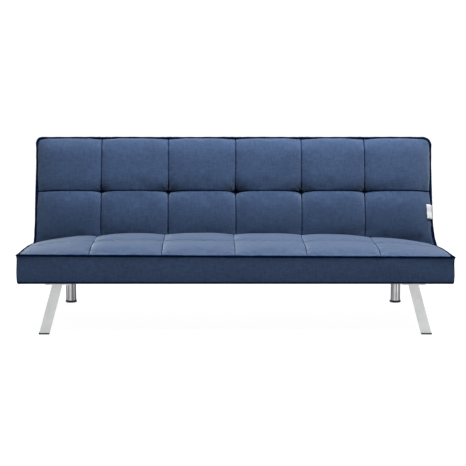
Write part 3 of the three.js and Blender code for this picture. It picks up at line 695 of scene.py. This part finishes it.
def border_seams(c, ring, rings, material):
    """The upright seams where border strips meet, down the four corners."""
    verts, faces = [], []
    for x, y in ((-c.half, c.front), (c.half, c.front), (c.half, c.rear), (-c.half, c.rear)):
        corner = np.argmin(np.abs(ring[:, 0] - x) + np.abs(ring[:, 1] - y))
        out = np.array([math.copysign(1, x), math.copysign(1, y - c.cross), 0]) / math.sqrt(2)
        across = np.array([-out[1], out[0], 0])
        start = len(verts)
        path = [level[corner] for level in rings[:BORDER_LEVELS]]
        for spot in path:
            verts += circle(spot + CORNER_SEAM_PROUD * out, out, across, CORNER_SEAM_RADIUS, SEAM_SIDES)
        faces += capped_tube(start, len(path), SEAM_SIDES)
    return placed(f"{c.name}_corner_seams", verts, faces, material, c.to_world)


# ---- Cloth sheets ----
def thin_sheet(name, face, thickness, material, to_world):
    """A thin closed sheet below a grid of points, with flat cloth coordinates."""
    rows, columns = face.shape[:2]
    count = rows * columns
    top = grid_faces(rows, columns).tolist()
    under = [[i + count for i in reversed(quad)] for quad in top]
    edge = rim(np.arange(count).reshape(rows, columns))
    sides = [[int(a), int(a + count), int(b + count), int(b)] for a, b in zip(edge, np.roll(edge, -1))]
    back = face - [0, 0, thickness]
    points = np.concatenate([face.reshape(-1, 3), back.reshape(-1, 3)])
    return placed(name, points, top + under + sides, material, to_world, points[:, :2])


def stretched_sheet(name, node, to_world, material, sag):
    """A thin cloth stapled flat over a frame: it ripples a little between its staples."""
    low, high = box_in(node, to_world)
    across, along = SHEET_POINTS
    x, y = np.meshgrid(np.linspace(low.x, high.x, across), np.linspace(low.y, high.y, along))
    inset = np.minimum(np.minimum(x - low.x, high.x - x), np.minimum(y - low.y, high.y - y))
    free = np.clip(inset / SHEET_FREE, 0, 1)
    ripple = SHEET_RIPPLE * smooth_noise(x.shape, SHEET_WAVES, 3) + sag
    pulls = STAPLE_PULL * np.sin(2 * math.pi * x / STAPLE_PITCH) * np.exp(-inset / STAPLE_PULL_REACH)
    middle = (low.z + high.z) / 2
    z = middle + free * ripple + pulls
    face = np.stack([x, y, z + SHEET_THICKNESS / 2], -1)
    cloth = thin_sheet(name, face, SHEET_THICKNESS, material, to_world)
    return cloth, (high.x - low.x, high.y - low.y)


def staples(name, node, to_world, material):
    """A row of wire staples round the outer, lower face of a stapled cloth."""
    low, high = box_in(node, to_world)
    wander_along, wander_across = STAPLE_WANDER
    verts, faces = [], []

    def bar(x, y, along):
        half_size = np.full(3, STAPLE_WIRE)
        half_size["xy".index(along)] = STAPLE_CROWN / 2
        first = len(verts)
        for dx in (-1, 1):
            for dy in (-1, 1):
                for dz, taper in ((-1, STAPLE_TAPER), (1, 1)):
                    corner = half_size * [dx, dy, dz] * taper
                    verts.append(np.array([x, y, low.z - STAPLE_WIRE]) + corner)
        for quad in ((0, 1, 3, 2), (4, 6, 7, 5), (0, 4, 5, 1), (2, 3, 7, 6), (0, 2, 6, 4), (1, 5, 7, 3)):
            faces.append([first + q for q in quad])

    for y in (low.y + STAPLE_INSET, high.y - STAPLE_INSET):
        for x in np.arange(low.x + 2 * STAPLE_INSET, high.x - 2 * STAPLE_INSET, STAPLE_PITCH):
            bar(x + rng.normal(0, wander_along), y + rng.normal(0, wander_across), "x")
    for x in (low.x + STAPLE_INSET, high.x - STAPLE_INSET):
        for y in np.arange(low.y + 3 * STAPLE_INSET, high.y - 3 * STAPLE_INSET, STAPLE_PITCH):
            bar(x + rng.normal(0, wander_across), y + rng.normal(0, wander_along), "y")
    row = placed(name, verts, faces, material, to_world)
    row.data.polygons.foreach_set("use_smooth", [False] * len(row.data.polygons))
    bevel = row.modifiers.new("Rounded", "BEVEL")
    bevel.width = STAPLE_BEVEL
    return row


def blank_tab(node, c, panel, material):
    """The blank woven tab sewn into the side seam: a folded strip that lies on the pillow."""
    low, high = box_in(node, c.to_world)
    rows, columns = TAB_POINTS
    y, x = np.meshgrid(np.linspace(0, 1, rows), np.linspace(0, 1, columns), indexing="ij")
    px = high.x - TAB_INSET - TAB_WIDTH * (1 - x) - TAB_SLANT * y
    py = low.y + (high.y - low.y) * y
    gaps = np.hypot(px[..., None] - panel[:, 0], py[..., None] - panel[:, 1])
    pillow = np.where(gaps < TAB_CONTACT, panel[:, 2], c.seam + c.cord).max(-1)
    for _ in range(TAB_SMOOTHINGS):
        pillow[1:-1] = (pillow[:-2] + pillow[1:-1] + pillow[2:]) / 3
    pz = pillow + TAB_GAP + TAB_LIFT * (1 - x) + TAB_WAVE * np.sin(3 * np.pi * y)
    front = np.stack([px, py, pz], -1)
    return thin_sheet("blank_side_tab", front, TAB_THICKNESS, material, c.to_world)


# ---- Screw heads ----
def screw_heads(name, places, material):
    """Pan heads, each standing straight down from its place."""
    verts, faces = [], []
    for place in places:
        first = len(verts)
        for radius, height in PAN_SCREW:
            centre = np.array(place) - [0, 0, height]
            verts += circle(centre, np.array([1, 0, 0]), np.array([0, -1, 0]), radius, SCREW_SIDES)
        faces += capped_tube(first, len(PAN_SCREW), SCREW_SIDES)
    return placed(name, verts, faces, material)


# ---- Materials ----
class Recipe:
    """A material under construction: adds nodes and links them in one line each."""

    def __init__(self, name, **settings):
        self.material = bpy.data.materials.new(name)
        self.material.use_nodes = True
        self.tree = self.material.node_tree
        self.shader = self.tree.nodes["Principled BSDF"]
        for socket, value in settings.items():
            self.shader.inputs[socket.replace("_", " ")].default_value = value

    def node(self, kind, **settings):
        made = self.tree.nodes.new("ShaderNode" + kind)
        inputs = settings.pop("inputs", {})
        for key, value in settings.items():
            setattr(made, key, value)
        for key, value in inputs.items():
            if isinstance(value, bpy.types.NodeSocket):
                self.tree.links.new(value, made.inputs[key])
            else:
                made.inputs[key].default_value = value
        return made

    def place(self, scale=(1, 1, 1), cloth=False):
        source = self.node("UVMap", uv_map="UVMap").outputs[0] if cloth else None
        if source is None:
            source = self.node("TexCoord").outputs["Object"]
        return self.node("Mapping", inputs={"Vector": source, "Scale": scale}).outputs[0]

    def noise(self, where, scale, detail=2.0, roughness=0.5):
        settings = {"Vector": where, "Scale": scale, "Detail": detail, "Roughness": roughness}
        return self.node("TexNoise", inputs=settings).outputs["Fac"]

    def waves(self, where, scale, direction, distortion=0.0):
        settings = {"Vector": where, "Scale": scale, "Distortion": distortion, "Detail": 1.0}
        return self.node("TexWave", bands_direction=direction, inputs=settings).outputs["Fac"]

    def math(self, operation, first, second=0.0):
        return self.node("Math", operation=operation, inputs={0: first, 1: second}).outputs[0]

    def ramp(self, value, *stops):
        ramp = self.node("ValToRGB", inputs={0: value})
        elements = ramp.color_ramp.elements
        elements[0].position, elements[1].position = stops[0][0], stops[-1][0]
        for stop in stops[1:-1]:
            elements.new(stop[0])
        for element, (_, colour) in zip(elements, stops):
            element.color = (*colour, 1)
        return ramp.outputs[0]

    def total(self, *parts):
        """Adds values, each times its share."""
        added = None
        for value, share in parts:
            scaled = self.math("MULTIPLY", value, share)
            added = scaled if added is None else self.math("ADD", added, scaled)
        return added

    def tint(self, share, first, second):
        mix = self.node("MixRGB", blend_type="MULTIPLY", inputs={0: share, 1: first, 2: second})
        return mix.outputs[0]

    def paint(self, colour):
        self.tree.links.new(colour, self.shader.inputs["Base Color"])

    def colour(self, value, *stops):
        self.paint(self.ramp(value, *stops))

    def roughness(self, value, low, high):
        spread = self.node("MapRange", inputs={0: value, 3: low, 4: high}).outputs[0]
        self.tree.links.new(spread, self.shader.inputs["Roughness"])

    def bumped(self, *layers):
        """The finished material, with bumps from coarse to fine, each a height, metres and a strength."""
        normal = None
        for height, depth, strength in layers:
            inputs = {"Height": height, "Distance": depth, "Strength": strength}
            if normal is not None:
                inputs["Normal"] = normal
            normal = self.node("Bump", inputs=inputs).outputs[0]
        self.tree.links.new(normal, self.shader.inputs["Normal"])
        return self.material


def woven_fabric(name, dark, light, sheen, specular):
    """Brushed upholstery cloth: warp and weft, slubs, a soft nap and uneven dye."""
    r = Recipe(name, Roughness=0.92, Sheen_Weight=sheen, Sheen_Roughness=0.40,
               Specular_IOR_Level=specular)
    r.shader.inputs["Sheen Tint"].default_value = (0.79, 0.90, 1.0, 1)
    cloth = r.place(cloth=True)
    warp = r.waves(cloth, 0.5 / THREAD_PITCH, "X", 0.4)
    weft = r.waves(cloth, 0.5 / THREAD_PITCH, "Y", 0.4)
    weave = r.math("MAXIMUM", warp, weft)
    slub_x = r.noise(r.place((22, 420, 1), cloth=True), 1.0, 2.0)
    slub_y = r.noise(r.place((420, 22, 1), cloth=True), 1.0, 2.0)
    slubs = r.total((slub_x, 0.5), (slub_y, 0.5))
    streak_x = r.noise(r.place((34, 150, 1), cloth=True), 1.0, 3.0, 0.6)
    streak_y = r.noise(r.place((150, 34, 1), cloth=True), 1.0, 3.0, 0.6)
    streaks = r.total((streak_x, 0.5), (streak_y, 0.5))
    nap = r.noise(cloth, 60.0, 4.0, 0.62)
    blotch = r.noise(cloth, 5.5, 3.0, 0.55)
    mixed = r.total((nap, 0.16), (blotch, 0.10), (slubs, 0.24), (streaks, 0.50))
    base = r.ramp(mixed, (0.42, dark), (0.58, light))
    threads = r.ramp(weave, (0.0, (0.62, 0.62, 0.64)), (0.8, (1.0, 1.0, 1.0)))
    r.paint(r.tint(0.55, base, threads))
    return r.bumped((nap, 0.0010, 0.35), (slubs, 0.0005, 0.5), (weave, 0.0004, 0.55))


def cord_fabric(name, dark, light):
    """Cloth cut on the bias and wound round the edge cord, far darker than the cover and without gloss: its own
    navy with painted shade.
    """
    r = Recipe(name, Roughness=0.9, Specular_IOR_Level=0.0)
    spot = r.place()
    twill = r.node("Mapping", inputs={"Vector": spot, "Rotation": (0.6, 0.5, 0.785)}).outputs[0]
    threads = r.waves(twill, 420.0, "DIAGONAL", 0.6)
    nap = r.noise(spot, 160.0, 3.0)
    r.colour(r.total((nap, 0.6), (threads, 0.4)), (0.25, dark), (0.8, light))
    return r.bumped((nap, 0.0006, 0.4), (threads, 0.0003, 0.5))


def sewing_thread(name, colour):
    r = Recipe(name, Roughness=0.7, Sheen_Weight=0.05, Specular_IOR_Level=0.2)
    twist = r.waves(r.place(), 900.0, "DIAGONAL", 0.2)
    bright = tuple(min(1, 1.5 * c) for c in colour)
    r.colour(twist, (0.1, colour), (0.9, bright))
    return r.bumped((twist, 0.0002, 0.6))


def lining_cloth(name):
    """Black spun-bonded lining with its pattern of pressed points."""
    r = Recipe(name, Roughness=0.85, Sheen_Weight=0.1, Specular_IOR_Level=0.2)
    spot = r.place()
    points = r.node("TexVoronoi", inputs={"Vector": spot, "Scale": 520.0, "Randomness": 0.35}).outputs[0]
    fibres = r.noise(spot, 900.0, 3.0, 0.7)
    cloud = r.noise(spot, 30.0, 3.0)
    mixed = r.total((fibres, 0.6), (cloud, 0.4))
    r.colour(mixed, (0.35, (0.006, 0.006, 0.007)), (0.7, (0.030, 0.030, 0.033)))
    return r.bumped((points, 0.0003, 0.5), (fibres, 0.0002, 0.4))


def foam_cells(name):
    r = Recipe(name, Roughness=0.95, Specular_IOR_Level=0.15)
    spot = r.place()
    cells = r.node("TexVoronoi", inputs={"Vector": spot, "Scale": 700.0}).outputs[0]
    cloud = r.noise(spot, 18.0, 3.0)
    r.colour(cloud, (0.3, (0.62, 0.53, 0.33)), (0.7, (0.76, 0.70, 0.50)))
    return r.bumped((cells, 0.0006, 0.8))


def striped_webbing(name):
    r = Recipe(name, Roughness=0.8, Sheen_Weight=0.15, Specular_IOR_Level=0.25)
    spot = r.place()
    ribs = r.waves(spot, 300.0, "X")
    cross = r.waves(spot, 260.0, "Z", 0.3)
    fuzz = r.noise(spot, 240.0, 3.0)
    mixed = r.total((ribs, 0.5), (fuzz, 0.5))
    r.colour(mixed, (0.3, (0.045, 0.040, 0.032)), (0.75, (0.19, 0.16, 0.11)))
    return r.bumped((r.math("MAXIMUM", ribs, cross), 0.0006, 0.7))


def satin_label(name):
    r = Recipe(name, Roughness=0.55, Sheen_Weight=0.2, Specular_IOR_Level=0.4)
    cloth = r.place(cloth=True)
    ribs = r.waves(cloth, 700.0, "Y", 0.2)
    cloud = r.noise(cloth, 60.0, 2.0)
    r.colour(cloud, (0.3, (0.27, 0.28, 0.30)), (0.7, (0.33, 0.34, 0.36)))
    return r.bumped((ribs, 0.0002, 0.5))


def sawn_pine(name):
    r = Recipe(name, Roughness=0.65, Specular_IOR_Level=0.3)
    along = r.place((2.2, 34, 34))
    grain = r.noise(along, 3.0, 5.0, 0.6)
    rings = r.waves(r.place((0.8, 9, 9)), 6.0, "Z", 5.0)
    mixed = r.total((grain, 0.55), (rings, 0.45))
    r.colour(mixed, (0.2, (0.36, 0.21, 0.095)), (0.5, (0.55, 0.36, 0.18)), (0.85, (0.70, 0.51, 0.29)))
    r.roughness(grain, 0.55, 0.8)
    return r.bumped((rings, 0.0004, 0.4), (grain, 0.0005, 0.5))


def drawn_wire(name):
    r = Recipe(name, Metallic=1.0, Roughness=0.4)
    spot = r.place()
    scale = r.noise(spot, 160.0, 4.0, 0.65)
    r.colour(scale, (0.35, (0.10, 0.10, 0.11)), (0.7, (0.30, 0.29, 0.28)))
    r.roughness(scale, 0.28, 0.6)
    return r.bumped((scale, 0.0002, 0.4))


def zinc_plate(name):
    """Zinc-plated pressed steel with its faint yellow and blue passivation."""
    r = Recipe(name, Metallic=1.0, Roughness=0.35)
    spot = r.place()
    cloud = r.noise(spot, 28.0, 3.0, 0.6)
    grit = r.noise(spot, 700.0, 3.0)
    r.colour(cloud, (0.3, (0.52, 0.54, 0.58)), (0.5, (0.60, 0.60, 0.60)), (0.7, (0.64, 0.61, 0.52)))
    r.roughness(grit, 0.25, 0.5)
    return r.bumped((grit, 0.0001, 0.4))


def powder_coat(name):
    """Black powder coat with its orange peel."""
    r = Recipe(name, Roughness=0.38, Specular_IOR_Level=0.5, Coat_Weight=0.15)
    spot = r.place()
    peel = r.noise(spot, 420.0, 2.0, 0.5)
    dust = r.noise(spot, 60.0, 3.0)
    r.colour(dust, (0.35, (0.010, 0.010, 0.011)), (0.7, (0.024, 0.024, 0.026)))
    r.roughness(dust, 0.32, 0.48)
    return r.bumped((peel, 0.0003, 0.5))


def brushed_chrome(name):
    """Satin plating, brushed along the leg."""
    r = Recipe(name, Metallic=1.0, Roughness=0.38, Anisotropic=0.35)
    lines = r.noise(r.place((1500, 1500, 22)), 1.0, 2.0, 0.6)
    cloud = r.noise(r.place(), 22.0, 3.0)
    mixed = r.total((lines, 0.5), (cloud, 0.5))
    r.colour(mixed, (0.3, (0.46, 0.47, 0.48)), (0.7, (0.60, 0.60, 0.60)))
    r.roughness(lines, 0.30, 0.46)
    return r.bumped((lines, 0.0001, 0.25))


def chrome_with_painted_reflections(name):
    """Bright plating over drawn tube: its draw lines are a faint bump, and its soft upright streaks are painted
    reflections in its colour.
    """
    r = Recipe(name, Metallic=1.0, Roughness=0.06)
    spot = r.place()
    haze = r.noise(spot, 34.0, 4.0, 0.6)
    draw = r.noise(r.place((700, 700, 9)), 1.0, 2.0)
    # Soft upright streaks, dark and bright, multiplied into the plating's colour: painted reflections.
    streaks = r.noise(r.place((110, 110, 0.5)), 1.0, 1.0)
    plating = r.ramp(haze, (0.3, (0.60, 0.61, 0.63)), (0.7, (0.72, 0.72, 0.73)))
    tint = r.ramp(streaks, (0.43, (0.09, 0.09, 0.10)), (0.62, (0.92, 0.92, 0.92)))
    r.paint(r.tint(1.0, plating, tint))
    r.roughness(haze, 0.04, 0.13)
    return r.bumped((draw, 0.00006, 0.2))


def moulded(name, dark, light, rough):
    """Moulded plastic or rubber with a fine spark-eroded texture."""
    r = Recipe(name, Roughness=rough, Specular_IOR_Level=0.4)
    spot = r.place()
    grain = r.noise(spot, 900.0, 3.0, 0.6)
    scuff = r.noise(spot, 45.0, 4.0, 0.6)
    r.colour(scuff, (0.35, dark), (0.7, light))
    r.roughness(scuff, rough - 0.08, rough + 0.12)
    return r.bumped((grain, 0.0002, 0.5))


finishes = {
    "cover_fabric": woven_fabric("denim_blue_fabric", (0.0072, 0.0172, 0.0425), (0.0142, 0.0312, 0.0715),
                                 sheen=0.40, specular=0.2),
    # A darker copy of the cover cloth without sheen or gloss: painted shade in the seam folds and tuft pits.
    "seam_painted_shade": woven_fabric("denim_blue_in_seams", (0.0034, 0.0098, 0.0300), (0.0084, 0.0205, 0.0560),
                                sheen=0.0, specular=0.0),
    # Near-black cord cloth: its own navy with painted shade along the piping, corner seams and hem cord.
    "piping_cord": cord_fabric("navy_cord_fabric", (0.0005, 0.0018, 0.0075), (0.0014, 0.0046, 0.0170)),
    "lining_cloth": lining_cloth("black_lining"),
    "foam": foam_cells("cream_foam"),
    "webbing": striped_webbing("elastic_webbing"),
    "side_tab": satin_label("blank_satin_tab"),
    "spring_steel": drawn_wire("drawn_spring_wire"),
    "pine": sawn_pine("sawn_pine"),
    "zinc_steel": zinc_plate("zinc_plated_steel"),
    "black_steel": powder_coat("black_powder_coat"),
    "satin_chrome": brushed_chrome("satin_chrome"),
    "bright_chrome": chrome_with_painted_reflections("bright_chrome"),
    "black_plastic": moulded("black_moulded_plastic", (0.008, 0.008, 0.009), (0.022, 0.022, 0.024), 0.42),
    "rubber": moulded("black_rubber", (0.012, 0.012, 0.012), (0.030, 0.029, 0.028), 0.78),
}
thread = sewing_thread("navy_thread", (0.006, 0.012, 0.030))

# ---- The two cushions ----
seat = Cushion(
    name="seat", body="base", to_world=level, row_seam=0.507, crown=0.027,
    side_run=0.430, front_run=0.150, rear_run=0.115, rise=0.110, valley=0.0050, cross_valley=0.0040,
    tufts=[0.005, 0.006, 0.006, 0.006, 0.005],
    seam_drift=[-0.005, -0.005, -0.002, -0.005, 0.0], pinch=0.0006, swell=0.004,
    corners={"rear_left": 0.010, "rear_right": 0.010}, cord=0.0044, thinned=0.0, groove=0.0017,
    ears={"left": 0.002, "right": 0.002}, droop=0.034, tilt=0.008,
)
back = Cushion(
    name="back", body="back", to_world=upright, row_seam=0.483, crown=0.038,
    side_run=0.120, front_run=0.190, rear_run=0.070, rise=0.065, valley=0.006, cross_valley=0.009,
    tufts=[0.030, 0.040, 0.046, 0.042, 0.036],
    seam_drift=[0.0013, 0.0035, 0.0079, 0.0055, -0.0085], pinch=0.0026, swell=0.005,
    corners={"rear_left": 0.026, "rear_right": 0.036}, cord=0.0066, thinned=0.26, groove=0.0028,
    ears={"left": 0.0, "right": 0.014}, droop=0.0, tilt=0.0,
)
covers = {"seat": ["seat_cover", "seat_foam"], "back": ["back_cover", "back_foam"]}
panels = {}
for c in (seat, back):
    cover, panel, ring, rings = cover_mesh(c, finishes["cover_fabric"])
    panels[c.name] = panel.reshape(-1, 3)
    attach(cover, c.body)
    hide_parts(*covers[c.name])
    cord = piping_object(c, ring, finishes["piping_cord"])
    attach(cord, c.body)
    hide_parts(f"{c.name}_piping")
    details = (
        seam_stitches(c, panel, thread),
        border_seams(c, ring, rings, finishes["piping_cord"]),
        hem_shade_cord(c, rings, finishes["piping_cord"]),
    )
    for detail in details:
        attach(detail, c.body)

# ---- Linings and tab ----
linings = (
    ("seat_under_lining", "seat_dust_cover", level, "base", -0.0008,
     ["seat_front_rail", "seat_rear_rail", "seat_stretcher_1", "seat_stretcher_2"]),
    ("back_rear_lining", "back_rear_panel", upright, "back", 0.0010,
     ["back_bottom_rail", "back_top_rail", "back_centre_upright"]),
)
for name, node, to_world, body, sag, rests_on in linings:
    cloth, size = stretched_sheet(name, node, to_world, finishes["lining_cloth"], sag)
    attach(cloth, body)
    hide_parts(node)
    row = staples(f"{name}_staples", node, to_world, finishes["zinc_steel"])
    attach(row, body)

tab = blank_tab("back_side_tab", back, panels["back"], finishes["side_tab"])
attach(tab, "back")
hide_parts("back_side_tab")

# ---- Screw heads on the underside ----
def leg_plate_places(name):
    """One screw in each corner of a front leg's plate."""
    low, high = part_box(f"front_leg_plate_{name}")
    return [
        (x, y, low.z - HEAD_GAP)
        for x in (low.x + LEG_PLATE_INSET, high.x - LEG_PLATE_INSET)
        for y in (low.y + LEG_PLATE_INSET, high.y - LEG_PLATE_INSET)
    ]


def leg_flange_places(name):
    """One screw through each ear of a rear leg's flange, outside the tube."""
    low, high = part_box(f"rear_leg_flange_{name}")
    leg_low, leg_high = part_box(f"rear_leg_{name}")
    y = (low.y + high.y) / 2
    return [(x, y, low.z - HEAD_GAP) for x in ((low.x + leg_low.x) / 2, (high.x + leg_high.x) / 2)]


def rail_bolt_places(name):
    """One bolt up through the base rail at each spacer."""
    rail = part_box(f"base_rail_{name}")[0]
    places = []
    for spacer in RAIL_BOLT_SPACERS:
        low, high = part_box(f"{spacer}_{name}")
        places.append(((low.x + high.x) / 2, (low.y + high.y) / 2, rail.z - HEAD_GAP))
    return places


screws = (
    ("leg_plate_screws", leg_plate_places),
    ("leg_flange_screws", leg_flange_places),
    ("base_rail_bolts", rail_bolt_places),
)
for name, places in screws:
    spots = [spot for side in SIDES for spot in places(side)]
    heads = screw_heads(name, spots, finishes["zinc_steel"])
    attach(heads, "base")

# ---- CAD pieces that stay: each takes its slot's finish ----
for part in frame["record"]["subparts"]:
    node = frame["nodes"].get(part["node"])
    if node is None:
        continue
    node.data.materials.clear()
    node.data.materials.append(finishes[part["material_slot"]])

# ---- Stage ----
def white_paint(name, glow, specular):
    """Matt white with a glow of its own, so that it reads as plain white ground."""
    r = Recipe(name, Roughness=0.9, Specular_IOR_Level=specular, Emission_Color=(1, 1, 1, 1),
               Emission_Strength=glow)
    paint = r.noise(r.place(), 3.0, 3.0)
    r.colour(paint, (0.3, (0.10, 0.10, 0.10)), (0.7, (0.12, 0.12, 0.12)))
    return r.material


def white_floor():
    """A pale studio floor that curves up far behind the sofa."""
    profile = [(FLOOR_FRONT, 0.0), (FLOOR_BEND, 0.0)]
    for angle in np.radians(range(5, 91, 5)):
        profile.append((FLOOR_BEND + FLOOR_RADIUS * math.sin(angle), FLOOR_RADIUS * (1 - math.cos(angle))))
    profile.append((FLOOR_BEND + FLOOR_RADIUS, FLOOR_TOP))
    verts = [(x, y, z - FLOOR_DROP) for y, z in profile for x in (-FLOOR_HALF_WIDTH, FLOOR_HALF_WIDTH)]
    faces = [[2 * i, 2 * i + 1, 2 * i + 3, 2 * i + 2] for i in range(len(profile) - 1)]
    return placed("studio_floor", verts, faces, white_paint("studio_white", FLOOR_GLOW, specular=0.1))


def white_surround():
    """A white cylinder round the set, far out, that lights nothing and only closes the view."""
    verts, faces = [], []
    for k in range(SURROUND_SIDES):
        turn = 2 * math.pi * k / SURROUND_SIDES
        for z in SURROUND_LOW_HIGH:
            verts.append((SURROUND_RADIUS * math.cos(turn), SURROUND_RADIUS * math.sin(turn), z))
        a, b = 2 * k, 2 * ((k + 1) % SURROUND_SIDES)
        faces.append([a, a + 1, b + 1, b])
    paint = white_paint("surround_white", 1.0, specular=0.0)
    surround = placed("white_surround", verts, faces, paint)
    surround.visible_diffuse = False
    surround.visible_glossy = False
    surround.visible_shadow = False
    return surround


def area_light(name, place, target, size, power):
    light = bpy.data.lights.new(name, "AREA")
    light.shape = "RECTANGLE"
    light.size, light.size_y = size
    light.energy = power
    lamp = bpy.data.objects.new(name, light)
    lamp.location = place
    lamp.rotation_euler = (Vector(target) - Vector(place)).to_track_quat("-Z", "Y").to_euler()
    bpy.context.scene.collection.objects.link(lamp)


white_floor()
white_surround()
for light in LIGHTS:
    area_light(*light)

world = bpy.data.worlds.new("studio_world")
world.use_nodes = True
world.node_tree.nodes["Background"].inputs["Color"].default_value = (1, 1, 1, 1)
world.node_tree.nodes["Background"].inputs["Strength"].default_value = WORLD_STRENGTH
scene = bpy.context.scene
scene.world = world
scene.view_settings.view_transform = "Standard"

lens = bpy.data.cameras.new("camera")
lens.lens = FOCAL_LENGTH
lens.sensor_width = SENSOR_WIDTH
lens.shift_x, lens.shift_y = CAMERA_SHIFT
lens.clip_end = 60
camera = bpy.data.objects.new("camera", lens)
camera.location = CAMERA_PLACE
camera.rotation_euler = (math.radians(90 - CAMERA_DIP), 0, 0)
scene.collection.objects.link(camera)
scene.camera = camera
